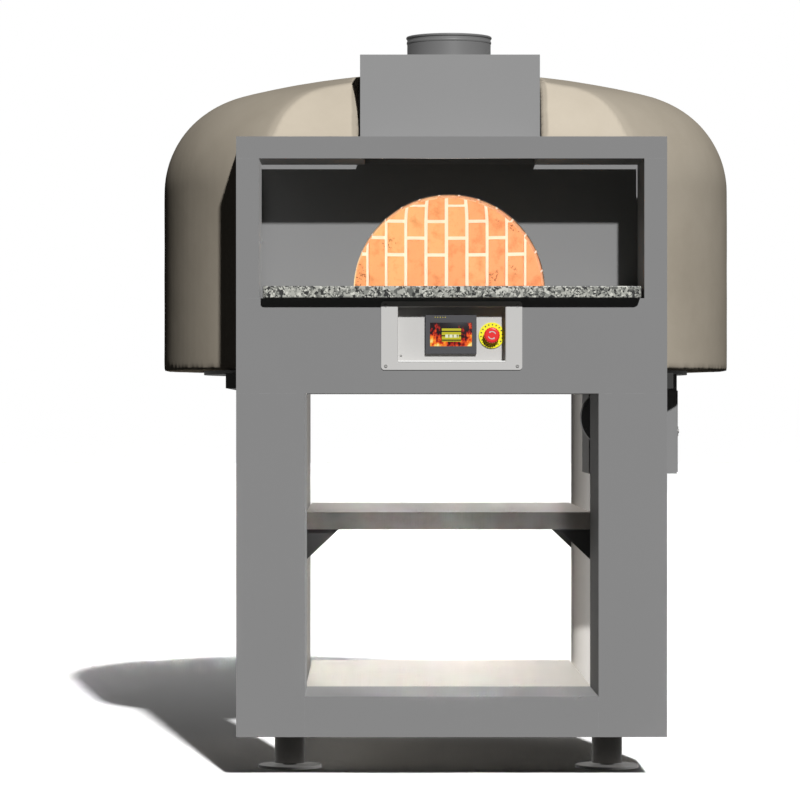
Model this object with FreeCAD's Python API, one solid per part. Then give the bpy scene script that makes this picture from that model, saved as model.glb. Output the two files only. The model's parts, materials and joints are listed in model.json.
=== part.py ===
"""Commercial pizza oven with a rotating stone deck, as separate named parts.

Units are millimetres. X is to the right of someone facing the mouth, Y runs from the front to the
back and Z is up. The origin is the centre of the bounding box in plan, on the floor. Depths are
measured back from the front plane of the steel facade and turned into Y by the function back().
"""
import FreeCAD, Part
import math
import os

V = FreeCAD.Vector
X_AXIS = V(1, 0, 0)
Y_AXIS = V(0, 1, 0)
Z_AXIS = V(0, 0, 1)

# Facade: a flat steel front, 1100 wide, standing clear of the floor
FRONT_Y = -749.0
SHEET = 3.0
FACADE_HALF = 550.0
FACADE_Z0 = 112.0
FACADE_Z1 = 1645.0
APRON_Z0 = 989.0
APRON_Z1 = 1232.0
APRON_SIDE_DEPTH = 214.0
HEADER_LIP = 20.0

# Landing niche above the granite
NICHE_HALF = 492.0
NICHE_DEPTH = 260.0
NICHE_Z1 = 1589.0
NICHE_PANEL_DEPTH = 238.0
NICHE_CUT_HALF = 512.0

# Storage bay under the oven
BAY_HALF = 375.0
BAY_DEPTH = 350.0
TRAY_Z = 215.0
TRAY_HALF = 378.0
TRAY_END = 1387.0
TRAY_LIP = 30.0
SHELF_Z0 = 631.0
SHELF_Z1 = 677.0
PAN_SHEET = 2.0
GUSSET_WIDTH = 90.0
GUSSET_HEIGHT = 85.0
GUSSET_THICK = 6.0

# Granite landing shelf
GRANITE_HALF = 481.5
GRANITE_FRONT = -42.0
GRANITE_BACK = 258.0
GRANITE_THICK = 30.0
GRANITE_CORNER = 12.0
HEARTH_Z = APRON_Z1 + GRANITE_THICK

# Legs and levelling feet
LEG_X = 421.0
LEG_DEPTHS = (373.0, 1340.0)
LEG_R = 40.0
LEG_WALL = 3.0
LEG_Z0 = 12.0
FOOT_R = 84.0
FOOT_THICK = 7.0
STEM_R = 8.0
STEM_TOP = 80.0
NUT_Z = 40.0
NUT_THICK = 14.0

# Base frame and plate
TUBE = 40.0
TUBE_WALL = 3.0
VENT_R = 4.0
FRAME_Z0 = 1004.0
FRAME_Z1 = FRAME_Z0 + TUBE
FRAME_HALF = 586.0
FRAME_FRONT = 240.0
FRAME_BACK = 1360.0
CROSS_DEPTHS = (353.0, 590.0, 900.0, 1320.0)
PLATE_R = 666.0
PLATE_THICK = 10.0
DOME_Z0 = FRAME_Z1 + PLATE_THICK

# Stucco dome, turned about a vertical axis
DOME_DEPTH = 765.0
DOME_Y = FRONT_Y + DOME_DEPTH
DOME_R = 775.0
DOME_SPRING = 1544.0
DOME_SHOULDER = 263.0
DOME_APEX = 1871.0
SHELL = 25.0
SHELL_SEAT_R = 640.0
SHELL_FLOOR = 12.0
FLAT_DEPTH = 182.0
LEAN_POINTS = ((182.0, 1650.0), (219.0, 1728.0), (279.0, 1793.0), (400.0, 1896.0))

# Refractory chamber
CHAMBER_R = 455.0
CHAMBER_SPRING = 1480.0
CHAMBER_SHOULDER = 110.0
CHAMBER_APEX = 1650.0
REFRACTORY = 75.0
HEARTH_BASE_Z = 1190.0
HEARTH_BASE_R = 532.0
MOUTH_R = 251.0
ARCH_R = 300.0
ARCH_BACK = 420.0
PART_GAP = 1.0

# Rotating deck
DECK_R = 440.0
DECK_THICK = 40.0
TURNTABLE_R = 425.0
TURNTABLE_THICK = 12.0
TURNTABLE_Z0 = HEARTH_Z - DECK_THICK - TURNTABLE_THICK
SHAFT_R = 20.0
SHAFT_Z0 = 1010.0
RUNNING = 0.05
HUB_R = 35.0
HUB_Z0 = 1090.3
HUB_FLANGE_R = 110.0
HUB_FLANGE_THICK = 12.0
BEARING_R = 45.0
THRUST_R = 38.0
BEARING_HEIGHT = 24.0
BEARING_CLEAR = 5.0
THRUST_GAP = 0.3

# Chain drive
PITCH = 12.7
ROLLER_R = 4.0
DECK_TEETH = 60
MOTOR_TEETH = 15
CHAIN_LINKS = 112
SPROCKET_Z0 = 1020.0
SPROCKET_THICK = 8.0
LINK_PLATE = 2.0
LINK_HALF = 5.0
LINK_SIDE_GAP = 1.5
MOTOR_SHAFT_R = 10.0
MOTOR_SHAFT_DROP = 42.0
MOTOR_BORE_DEPTH = 45.0
MOTOR_PORT_GAP = 4.0
GEARBOX_HALF = 45.0
GEARBOX_BACK = 40.0
GEARBOX_HEIGHT = 60.0
MOTOR_R = 40.0
MOTOR_HEIGHT = 100.0
MOTOR_CAP_R = 30.0
MOTOR_CAP_HEIGHT = 12.0

# Hood and flue
HOOD_HALF = 234.0
HOOD_FRONT = 180.0
HOOD_BACK = 430.0
HOOD_Z1 = 1872.0
THROAT_HALF = 225.0
THROAT_FRONT = 10.0
THROAT_TOP = 1641.0
FLUE_R = 110.0
FLUE_DEPTH = 305.0
FLUE_TOP = 1930.0

# Service cabinet, burner blower and gearmotor
CAB_X0 = 382.0
CAB_X1 = 619.0
CAB_FRONT = 515.0
CAB_BACK = 815.0
CAB_Z0 = 776.0
CAB_SHEET = 2.0
FLANGE_X0 = 588.0
DOOR_X1 = 622.0
DOOR_THICK = 2.5
DOOR_GAP = 4.0
PIN_X = 627.0
PIN_DEPTH = 816.5
PIN_R = 2.5
KNUCKLE_R = 5.0
KNUCKLE_LENGTH = 40.0
KNUCKLE_BASES = (800.0, 940.0)
KNUCKLE_STRAP = 30.0
EAR_LENGTH = 19.0
EAR_THICK = 4.0
EAR_GAP = 0.5
LATCH_R = 5.0
LATCH_DEPTH = CAB_FRONT + 36
LATCH_GAP = 0.4
LATCH_REACH = 8.0
LATCH_KNOB_R = 14.0
LATCH_KNOB_THICK = 2.0
LATCH_GRIP = (3.5, 6.0, 26.0)
LATCH_TONGUE = (3.0, 30.0, 12.0)
LATCH_TONGUE_BACK = 8.0
BLOWER_X = 437.0
BLOWER_Z = 926.0
BLOWER_R = 79.0
BLOWER_FRONT = 455.0
BLOWER_SHEET = 2.5
BLOWER_INTAKE_R = 45.0
WHEEL_R = 66.0
WHEEL_BLADES = 20
WHEEL_SHAFT_R = 6.0
WHEEL_SHAFT_GAP = 6.0
WHEEL_FRONT = BLOWER_FRONT + 6
WHEEL_BACK = CAB_FRONT - 8
WHEEL_DISC = 3.0
WHEEL_RIM = 16.0
WHEEL_HUB_R = 14.0
WHEEL_SHAFT_END = CAB_FRONT + 30
BLADE_DEPTH = 14.0
BLADE_THICK = 1.5
BLOWER_MOTOR_R = 40.0
BLOWER_MOTOR_LENGTH = 78.0
BLOWER_MOTOR_CAP = 12.0
BURNER_X = 491.0
BURNER_R = 25.0
BURNER_WALL = 3.0
BURNER_BEND = 50.0
BURNER_Z = 1350.0
BURNER_TIP_R = 470.0

# Control panel
BEZEL_WIDTH = 360.0
BEZEL_HEIGHT = 175.0
BEZEL_Z0 = 1049.0
BEZEL_CORNER = 8.0
WINDOW_HALF = 137.0
WINDOW_CHAMFER = 2.0
WINDOW_Z0 = 1070.0
WINDOW_Z1 = 1210.0
RECESS_DEPTH = 40.0
RECESS_SHEET = 2.0
SCREEN_X = -1.0
SCREEN_Z = 1140.0
SCREEN_CASE = (131.0, 99.0, 12.0)
SCREEN_GLASS = (107.0, 60.0, 1.5)
ESTOP_X = 103.5
ESTOP_Z = 1138.0
ESTOP_PLATE_R = 33.0
ESTOP_PLATE_THICK = 4.0
ESTOP_COLLAR_R = 15.0
ESTOP_COLLAR_RISE = 10.0
ESTOP_HEAD_R = 20.0
ESTOP_HEAD_THICK = 10.0
ESTOP_HEAD_GAP = 0.3
ESTOP_CROWN = 4.5
ESTOP_RISE = 16.0
ESTOP_TAIL = 6.0
ESTOP_NECK = 6.0
ESTOP_STEM_R = 8.0
ESTOP_NECK_R = 5.0
SCREW_R = 2.5
SCREW_HEAD_R = 4.5
SCREW_HEAD_THICK = 2.4
SCREW_TAIL = 5.0
SCREW_INSETS = (12.0, 10.0)


def back(depth):
    """Y of a plane at a depth behind the facade's front."""
    return FRONT_Y + depth


def block(x0, x1, d0, d1, z0, z1):
    """Box between two X values, two depths and two heights."""
    return Part.makeBox(x1 - x0, d1 - d0, z1 - z0, V(x0, back(d0), z0))


def column(radius, z0, z1, x=0.0, y=DOME_Y):
    """Upright cylinder."""
    return Part.makeCylinder(radius, z1 - z0, V(x, y, z0), Z_AXIS)


def barrel(radius, d0, d1, x, z):
    """Cylinder lying front to back."""
    return Part.makeCylinder(radius, d1 - d0, V(x, back(d0), z), Y_AXIS)


def ring(outer, inner, z0, z1, x=0.0, y=DOME_Y):
    """Upright tube."""
    return column(outer, z0, z1, x, y).cut(column(inner, z0 - 1, z1 + 1, x, y))


def open_box(outer, wall, open_faces):
    """Sheet-metal box from outer limits (x0, x1, d0, d1, z0, z1), open on the faces named."""
    names = ("x0", "x1", "d0", "d1", "z0", "z1")
    inner = []
    for name, value in zip(names, outer):
        inward = wall if name.endswith("0") else -wall
        inner.append(value - inward if name in open_faces else value + inward)
    return block(*outer).cut(block(*inner))


def vault(radius, z0, spring, shoulder, apex):
    """Solid dome: upright wall, round shoulder and a crown arc that meets it in a tangent."""
    reach = radius - shoulder
    rise = apex - spring
    crown = (reach ** 2 + rise ** 2 - shoulder ** 2) / (2 * (rise - shoulder))
    centre_z = apex - crown
    meet = math.atan2(spring - centre_z, reach)
    top = V(0, 0, apex)
    tangent = V(crown * math.cos(meet), 0, centre_z + crown * math.sin(meet))
    wall_top = V(radius, 0, spring)
    mid = meet / 2
    shoulder_mid = V(reach + shoulder * math.cos(mid), 0, spring + shoulder * math.sin(mid))
    crown_angle = (meet + math.pi / 2) / 2
    crown_mid = V(crown * math.cos(crown_angle), 0, centre_z + crown * math.sin(crown_angle))
    edges = [
        Part.makeLine(V(0, 0, z0), V(radius, 0, z0)),
        Part.makeLine(V(radius, 0, z0), wall_top),
        Part.Arc(wall_top, shoulder_mid, tangent).toShape(),
        Part.Arc(tangent, crown_mid, top).toShape(),
        Part.makeLine(top, V(0, 0, z0)),
    ]
    solid = Part.Face(Part.Wire(edges)).revolve(V(0, 0, 0), Z_AXIS, 360)
    solid.translate(V(0, DOME_Y, 0))
    return solid


def dome_body(inset, z0):
    """The dome's outside, or its inside at an inset, with the flat and leaning front cut away."""
    body = vault(DOME_R - inset, z0, DOME_SPRING, DOME_SHOULDER - inset, DOME_APEX - inset)
    return body.cut(front_cutter(inset))


def front_cutter(inset):
    """Everything in front of the dome's flat face and the curve that leans back above it."""
    low = DOME_Z0 - 50
    high = DOME_APEX + 60
    points = [V(-900, back(depth + inset), z) for depth, z in LEAN_POINTS]
    start = V(-900, back(-60), low)
    foot = V(-900, back(FLAT_DEPTH + inset), low)
    roof = V(-900, back(LEAN_POINTS[-1][0] + inset), high)
    corner = V(-900, back(-60), high)
    edges = [
        Part.makeLine(start, foot),
        Part.makeLine(foot, points[0]),
        Part.Arc(points[0], points[1], points[2]).toShape(),
        Part.makeLine(points[2], points[3]),
        Part.makeLine(points[3], roof),
        Part.makeLine(roof, corner),
        Part.makeLine(corner, start),
    ]
    return Part.Face(Part.Wire(edges)).extrude(V(1800, 0, 0))


def burner_core(radius):
    """Solid along the burner's path: up beside the chamber, round a bend and in to its wall."""
    y = back((BLOWER_FRONT + CAB_FRONT) / 2)
    out = V(BURNER_X, y - DOME_Y, 0)
    reach = out.Length
    inward = V(-out.x / reach, -out.y / reach, 0)
    low = V(BURNER_X, y, FRAME_Z0 - 2)
    bend = V(BURNER_X, y, BURNER_Z - BURNER_BEND)
    over = V(BURNER_X, y, BURNER_Z) + inward * BURNER_BEND
    tip = V(BURNER_X, y, BURNER_Z) + inward * (reach - BURNER_TIP_R)
    turn = BURNER_BEND * (1 - math.sqrt(0.5))
    middle = bend + inward * turn + Z_AXIS * (BURNER_BEND * math.sqrt(0.5))
    path = Part.Wire([
        Part.makeLine(low, bend),
        Part.Arc(bend, middle, over).toShape(),
        Part.makeLine(over, tip),
    ])
    section = Part.Wire([Part.makeCircle(radius, low, Z_AXIS)])
    return path.makePipeShell([section], True, False)


def legs():
    """Four tube legs with a threaded plug near the foot of each."""
    made = {}
    for name, x, depth in leg_places():
        y = back(depth)
        leg = ring(LEG_R, LEG_R - LEG_WALL, LEG_Z0, FRAME_Z0, x, y)
        plug = ring(LEG_R - LEG_WALL / 2, STEM_R + RUNNING, NUT_Z, NUT_Z + NUT_THICK, x, y)
        made["leg_" + name] = leg.fuse(plug)
    return made


def feet():
    """Levelling feet: a floor disc on a stem that runs in the leg's plug."""
    made = {}
    for name, x, depth in leg_places():
        y = back(depth)
        disc = column(FOOT_R, 0, FOOT_THICK, x, y)
        disc = disc.makeChamfer(1.5, [max(disc.Edges, key=lambda e: e.BoundBox.ZMin)])
        made["foot_" + name] = disc.fuse(column(STEM_R, FOOT_THICK - 1, STEM_TOP, x, y))
    return made


def leg_places():
    """Name, X and depth of each leg."""
    places = []
    for row, depth in zip(("front", "rear"), LEG_DEPTHS):
        for side, x in (("left", -LEG_X), ("right", LEG_X)):
            places.append((f"{row}_{side}", x, depth))
    return places


def base_frame():
    """Square-tube frame on the legs: two capped and vented side rails and the cross members between."""
    beams = []
    inner = FRAME_HALF - TUBE
    for side in (-1, 1):
        x0, x1 = sorted((side * inner, side * FRAME_HALF))
        tube = block(x0, x1, FRAME_FRONT, FRAME_BACK, FRAME_Z0, FRAME_Z1)
        bore = block(x0 + TUBE_WALL, x1 - TUBE_WALL, FRAME_FRONT + TUBE_WALL, FRAME_BACK - TUBE_WALL,
                     FRAME_Z0 + TUBE_WALL, FRAME_Z1 - TUBE_WALL)
        tube = tube.cut(bore)
        x = (x0 + x1) / 2
        for depth in (FRAME_FRONT + TUBE / 2, FRAME_BACK - TUBE / 2):
            tube = tube.cut(column(VENT_R, FRAME_Z0 - 1, FRAME_Z0 + TUBE_WALL + 1, x, back(depth)))
        beams.append(tube)
    for depth in CROSS_DEPTHS:
        tube = block(-inner, inner, depth, depth + TUBE, FRAME_Z0, FRAME_Z1)
        bore = block(-inner - 1, inner + 1, depth + TUBE_WALL, depth + TUBE - TUBE_WALL,
                     FRAME_Z0 + TUBE_WALL, FRAME_Z1 - TUBE_WALL)
        beams.append(tube.cut(bore))
    return Part.Compound(beams)


def base_plate():
    """Round steel plate under the oven, pierced for the deck shaft and the burner tube."""
    plate = column(PLATE_R, FRAME_Z1, DOME_Z0)
    y = back((BLOWER_FRONT + CAB_FRONT) / 2)
    plate = plate.cut(column(SHAFT_R + 4, FRAME_Z1 - 1, DOME_Z0 + 1))
    return plate.cut(column(BURNER_R + 3, FRAME_Z1 - 1, DOME_Z0 + 1, BURNER_X, y))


def pan(half, d0, d1, z1, lip):
    """Folded sheet pan turned upside down."""
    return open_box((-half, half, d0, d1, z1 - lip, z1), PAN_SHEET, ("z0",))


def shelf_gussets():
    """Triangular brackets on the legs under the shelf and under the tray."""
    plates = []
    for top in (SHELF_Z0, TRAY_Z - TRAY_LIP):
        height = min(GUSSET_HEIGHT, top - NUT_Z - NUT_THICK)
        for depth in LEG_DEPTHS:
            for side in (-1, 1):
                x = side * (LEG_X - LEG_R)
                d = back(depth - GUSSET_THICK / 2)
                corners = [V(x, d, top), V(x - side * GUSSET_WIDTH, d, top), V(x, d, top - height)]
                face = Part.Face(Part.makePolygon(corners + corners[:1]))
                plates.append(face.extrude(V(0, GUSSET_THICK, 0)))
    return Part.Compound(plates)


def facade():
    """The flat steel front, as the panels it is welded from."""
    top_clear = dome_body(-PART_GAP, DOME_Z0)
    made = {}
    for name, side in (("left", -1), ("right", 1)):
        x0, x1 = sorted((side * BAY_HALF, side * FACADE_HALF))
        face = block(x0, x1, 0, SHEET, FACADE_Z0, APRON_Z0)
        outer = side * FACADE_HALF
        inner = side * (FACADE_HALF - SHEET)
        s0, s1 = sorted((outer, inner))
        made["facade_column_" + name] = face.fuse(block(s0, s1, SHEET, BAY_DEPTH, FACADE_Z0, APRON_Z0))
        x0, x1 = sorted((side * NICHE_HALF, outer))
        face = block(x0, x1, 0, SHEET, APRON_Z1, NICHE_Z1)
        flank = block(s0, s1, SHEET, NICHE_DEPTH, APRON_Z1, FACADE_Z1).cut(top_clear)
        made["facade_post_" + name] = face.fuse(flank)
    made["facade_plinth"] = block(-BAY_HALF, BAY_HALF, 0, SHEET, FACADE_Z0, TRAY_Z)
    made["facade_header"] = header()
    made["facade_apron"] = apron()
    return made


def header():
    """Top panel of the facade, with a folded lip, between the two flanks."""
    face = block(-FACADE_HALF, FACADE_HALF, 0, SHEET, NICHE_Z1, FACADE_Z1)
    inner = FACADE_HALF - SHEET
    return face.fuse(block(-inner, inner, SHEET, HEADER_LIP, FACADE_Z1 - SHEET, FACADE_Z1))


def apron():
    """Middle panel of the facade, with folded flanks, the control window and its screw holes."""
    inner = FACADE_HALF - SHEET
    panel = block(-FACADE_HALF, FACADE_HALF, 0, SHEET, APRON_Z0, APRON_Z1)
    for side in (-1, 1):
        x0, x1 = sorted((side * inner, side * FACADE_HALF))
        panel = panel.fuse(block(x0, x1, SHEET, APRON_SIDE_DEPTH, APRON_Z0, APRON_Z1))
    edge = RECESS_SHEET + 0.3
    window = block(-WINDOW_HALF - edge, WINDOW_HALF + edge, -1, SHEET + 1, WINDOW_Z0 - edge,
                   WINDOW_Z1 + edge)
    panel = panel.cut(window)
    for x, z in screw_places():
        panel = panel.cut(barrel(SCREW_R + 0.2, -1, SHEET + 1, x, z))
    return panel.removeSplitter()


def bay_lining():
    """Jambs, sill and ceiling that line the storage opening."""
    made = {}
    for name, side in (("left", -1), ("right", 1)):
        x0, x1 = sorted((side * BAY_HALF, side * (BAY_HALF + SHEET)))
        made["storage_jamb_" + name] = block(x0, x1, SHEET, BAY_DEPTH, TRAY_Z - SHEET, APRON_Z0)
    made["storage_sill"] = block(-BAY_HALF, BAY_HALF, SHEET, BAY_DEPTH, TRAY_Z - SHEET, TRAY_Z)
    outer = BAY_HALF + SHEET
    made["storage_ceiling"] = block(-outer, outer, SHEET, BAY_DEPTH, APRON_Z0, APRON_Z0 + SHEET)
    return made


def niche():
    """Side walls, ceiling and back wall of the landing niche."""
    made = {}
    for name, side in (("left", -1), ("right", 1)):
        x0, x1 = sorted((side * NICHE_HALF, side * (NICHE_HALF + SHEET)))
        made["niche_wall_" + name] = block(x0, x1, SHEET, NICHE_PANEL_DEPTH, APRON_Z1, NICHE_Z1)
    outer = NICHE_HALF + SHEET
    ceiling = block(-outer, outer, SHEET, NICHE_PANEL_DEPTH, NICHE_Z1, NICHE_Z1 + SHEET)
    duct = block(-THROAT_HALF + SHEET, THROAT_HALF - SHEET, THROAT_FRONT + SHEET,
                 NICHE_DEPTH, NICHE_Z1 - 1, NICHE_Z1 + SHEET + 1)
    made["niche_ceiling"] = ceiling.cut(duct)
    half = NICHE_CUT_HALF - 2
    wall = block(-half, half, NICHE_DEPTH, NICHE_DEPTH + SHEET, APRON_Z1, FACADE_Z1 - SHEET)
    arch = barrel(MOUTH_R, NICHE_DEPTH - 1, NICHE_DEPTH + SHEET + 1, 0, HEARTH_Z)
    below = block(-MOUTH_R - 1, MOUTH_R + 1, 0, NICHE_DEPTH + SHEET + 2, APRON_Z0, HEARTH_Z)
    made["niche_back"] = wall.cut(arch.cut(below))
    return made


def granite_shelf():
    """Landing slab with rounded front corners, running back to the mouth."""
    slab = block(-GRANITE_HALF, GRANITE_HALF, GRANITE_FRONT, GRANITE_BACK, APRON_Z1, HEARTH_Z)
    front = back(GRANITE_FRONT)
    corners = [e for e in slab.Edges
               if e.BoundBox.ZLength > GRANITE_THICK - 1 and abs(e.BoundBox.YMin - front) < 0.1]
    return slab.makeFillet(GRANITE_CORNER, corners)


def hood():
    """Smoke throat over the niche, the hood box behind it and the round flue collar."""
    made = {}
    low = NICHE_Z1 + SHEET
    top = FACADE_Z1
    plenum = block(-THROAT_HALF, THROAT_HALF, THROAT_FRONT, NICHE_DEPTH, low, THROAT_TOP)
    neck = block(-THROAT_HALF, THROAT_HALF, HOOD_FRONT, NICHE_DEPTH, THROAT_TOP, top)
    inner = THROAT_HALF - SHEET
    front = THROAT_FRONT + SHEET
    rear = NICHE_DEPTH - SHEET
    hollow = block(-inner, inner, front, rear, low - 1, THROAT_TOP - SHEET)
    rise = block(-inner, inner, HOOD_FRONT + SHEET, rear, low, top + 1)
    made["hood_throat"] = plenum.fuse(neck).cut(hollow.fuse(rise)).removeSplitter()

    y = back(FLUE_DEPTH)
    box = open_box((-HOOD_HALF, HOOD_HALF, HOOD_FRONT, HOOD_BACK, top, HOOD_Z1), SHEET, ())
    box = box.cut(block(-inner, inner, HOOD_FRONT + SHEET, rear, top - 1, top + SHEET + 1))
    bore = FLUE_R - SHEET
    made["hood_box"] = box.cut(column(bore, HOOD_Z1 - SHEET - 1, HOOD_Z1 + 1, 0, y))
    made["flue_collar"] = ring(FLUE_R, bore, HOOD_Z1, FLUE_TOP, 0, y)
    return made


def niche_void(grow):
    """Space taken out of the dome for the niche and for the hood above it."""
    half = NICHE_CUT_HALF + grow
    deep = NICHE_DEPTH + SHEET + 1 + grow
    void = block(-half, half, -60, deep, APRON_Z1 - 1, FACADE_Z1)
    reach = HOOD_HALF + 1 + grow
    return void.fuse(block(-reach, reach, -60, HOOD_BACK + 1 + grow, FACADE_Z1 - 1, DOME_APEX + 40))


def dome_shell():
    """Stucco shell with a seat round its foot, open for the niche and the hood."""
    outer = dome_body(0, DOME_Z0)
    inner = dome_body(SHELL, DOME_Z0 + SHELL_FLOOR)
    seat = column(SHELL_SEAT_R, DOME_Z0 - 1, DOME_Z0 + SHELL_FLOOR + 1)
    return outer.cut(inner).cut(seat).cut(niche_void(0))


def chamber_solid(extra):
    """Solid of the chamber's outline, grown outwards."""
    return vault(CHAMBER_R + extra, HEARTH_BASE_Z, CHAMBER_SPRING, CHAMBER_SHOULDER + extra,
                 CHAMBER_APEX + extra)


def mouth_ring(radius, d1, z0):
    """Half round from the niche's back wall inwards, standing on straight sides below."""
    front = NICHE_DEPTH + SHEET + 1
    shape = barrel(radius, front, d1, 0, HEARTH_Z)
    shape = shape.cut(block(-radius - 1, radius + 1, front - 1, d1 + 1, HEARTH_BASE_Z - 400, HEARTH_Z))
    return shape.fuse(block(-radius, radius, front, d1, z0, HEARTH_Z))


def refractory_dome():
    """Cast chamber with the arch of its mouth and a port for the burner."""
    outer = chamber_solid(REFRACTORY)
    front = NICHE_DEPTH + SHEET + 1
    outer = outer.cut(block(-800, 800, -60, front, HEARTH_BASE_Z - 1, DOME_APEX))
    outer = outer.fuse(mouth_ring(ARCH_R, ARCH_BACK, HEARTH_BASE_Z))
    inner = chamber_solid(0)
    opening = mouth_ring(MOUTH_R, DOME_DEPTH, HEARTH_BASE_Z - 1)
    opening.translate(V(0, -2, 0))
    cast = outer.cut(inner).cut(opening.fuse(mouth_ring(MOUTH_R, DOME_DEPTH, HEARTH_BASE_Z - 1)))
    return cast.cut(burner_core(BURNER_R + 1.5)).cut(niche_void(PART_GAP))


def mouth_sill():
    """Fixed stone between the granite and the turning deck."""
    front = NICHE_DEPTH + SHEET + 1
    half = MOUTH_R - PART_GAP
    sill = block(-half, half, front, ARCH_BACK - 20, HEARTH_BASE_Z, HEARTH_Z - 0.5)
    return sill.cut(column(DECK_R + 6, HEARTH_BASE_Z - 1, HEARTH_Z + 1))


def hearth_insulation():
    """Insulating slab under the chamber with a well for the shaft."""
    return ring(HEARTH_BASE_R, BEARING_R + 7, DOME_Z0, HEARTH_BASE_Z)


def insulation_blanket():
    """Insulation between the chamber and the stucco shell."""
    fill = dome_body(SHELL + PART_GAP, DOME_Z0 + SHELL_FLOOR + PART_GAP)
    fill = fill.cut(chamber_solid(REFRACTORY + PART_GAP))
    fill = fill.cut(column(HEARTH_BASE_R + PART_GAP, DOME_Z0, HEARTH_BASE_Z + 1))
    fill = fill.cut(mouth_ring(ARCH_R + PART_GAP, ARCH_BACK + PART_GAP, HEARTH_BASE_Z))
    fill = fill.cut(niche_void(PART_GAP))
    return fill.cut(burner_core(BURNER_R + 1.5))


def pitch_radius(teeth):
    """Radius on which a sprocket's roller centres lie."""
    return PITCH / (2 * math.sin(math.pi / teeth))


def chain_centres():
    """Distance between the two sprockets that takes a whole number of links."""
    spare = CHAIN_LINKS - (DECK_TEETH + MOTOR_TEETH) / 2
    step = (DECK_TEETH - MOTOR_TEETH) / (2 * math.pi)
    return PITCH / 4 * (spare + math.sqrt(spare ** 2 - 8 * step ** 2))


def sprocket(teeth, bore, x):
    """Toothed wheel, its seats turned so that one faces the other wheel."""
    radius = pitch_radius(teeth)
    wheel = column(radius + 0.3 * PITCH, SPROCKET_Z0, SPROCKET_Z0 + SPROCKET_THICK, x)
    seats = []
    for i in range(teeth):
        angle = 2 * math.pi * i / teeth
        seats.append(column(ROLLER_R, SPROCKET_Z0 - 1, SPROCKET_Z0 + SPROCKET_THICK + 1,
                            x + radius * math.cos(angle), DOME_Y + radius * math.sin(angle)))
    wheel = wheel.cut(Part.Compound(seats))
    return wheel.cut(column(bore, SPROCKET_Z0 - 1, SPROCKET_Z0 + SPROCKET_THICK + 1, x))


def rim(x, radius, angle, z):
    """Point on a sprocket's circle."""
    return V(x + radius * math.cos(angle), DOME_Y + radius * math.sin(angle), z)


def chain_loop(offset, z0, z1):
    """Solid inside a chain line that is moved outwards from the pitch line."""
    big = pitch_radius(DECK_TEETH) + offset
    small = pitch_radius(MOTOR_TEETH) + offset
    centres = chain_centres()
    lean = math.acos((big - small) / centres)
    deck_side, deck_end, deck_other = (rim(0, big, a, z0) for a in (lean, math.pi, -lean))
    motor_side, motor_end, motor_other = (rim(centres, small, a, z0) for a in (lean, 0, -lean))
    edges = [
        Part.makeLine(deck_side, motor_side),
        Part.Arc(motor_side, motor_end, motor_other).toShape(),
        Part.makeLine(motor_other, deck_other),
        Part.Arc(deck_other, deck_end, deck_side).toShape(),
    ]
    return Part.Face(Part.Wire(edges)).extrude(V(0, 0, z1 - z0))


def drive_chain():
    """The chain's two rows of side plates, as closed bands above and below the teeth."""
    bands = []
    upper = SPROCKET_Z0 + SPROCKET_THICK + LINK_SIDE_GAP
    lower = SPROCKET_Z0 - LINK_SIDE_GAP - LINK_PLATE
    for z in (lower, upper):
        outer = chain_loop(LINK_HALF, z, z + LINK_PLATE)
        bands.append(outer.cut(chain_loop(-LINK_HALF, z - 1, z + LINK_PLATE + 1)))
    return Part.Compound(bands)


def deck():
    """Everything that turns with the deck."""
    top = TURNTABLE_Z0
    flange_z = top - HUB_FLANGE_THICK
    shaft = column(SHAFT_R, SHAFT_Z0, HUB_Z0 + 5)
    shaft = shaft.fuse(column(HUB_R, HUB_Z0, flange_z + 1))
    shaft = shaft.fuse(column(HUB_FLANGE_R, flange_z, top))
    return {
        "deck_stone": column(DECK_R, HEARTH_Z - DECK_THICK, HEARTH_Z),
        "turntable_plate": column(TURNTABLE_R, top, top + TURNTABLE_THICK),
        "deck_shaft": shaft.removeSplitter(),
        "deck_sprocket": sprocket(DECK_TEETH, SHAFT_R + RUNNING, 0),
    }


def deck_bearings():
    """Lower and upper flange bearings and the thrust bearing under the hub."""
    bore = SHAFT_R + RUNNING
    top = DOME_Z0 + BEARING_HEIGHT
    lower = ring(BEARING_R, bore, SPROCKET_Z0 + SPROCKET_THICK + BEARING_CLEAR, FRAME_Z1)
    upper = ring(BEARING_R, bore, DOME_Z0, top)
    thrust = ring(THRUST_R, bore, top, HUB_Z0 - THRUST_GAP)
    return Part.Compound([lower, upper, thrust])


def gearmotor():
    """Motor and gearbox hung under the cabinet's roof."""
    x = chain_centres()
    top = FRAME_Z0 - CAB_SHEET
    half = GEARBOX_HALF
    low = top - GEARBOX_HEIGHT
    end = low - MOTOR_HEIGHT
    gearbox = block(x - half, x + half, DOME_DEPTH - half, DOME_DEPTH + GEARBOX_BACK, low, top)
    middle = back(DOME_DEPTH + (GEARBOX_BACK - half) / 2)
    motor = column(MOTOR_R, end, low, x, middle)
    cap = column(MOTOR_CAP_R, end - MOTOR_CAP_HEIGHT, end, x, middle)
    body = gearbox.fuse(motor).fuse(cap)
    return body.cut(column(MOTOR_SHAFT_R + RUNNING, top - MOTOR_BORE_DEPTH, top + 1, x))


def motor_sprocket():
    """Small sprocket on the gearmotor's output shaft."""
    x = chain_centres()
    shaft = column(MOTOR_SHAFT_R, FRAME_Z0 - CAB_SHEET - MOTOR_SHAFT_DROP,
                   SPROCKET_Z0 + SPROCKET_THICK + 6, x)
    return sprocket(MOTOR_TEETH, MOTOR_SHAFT_R - 1, x).fuse(shaft).removeSplitter()


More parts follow.
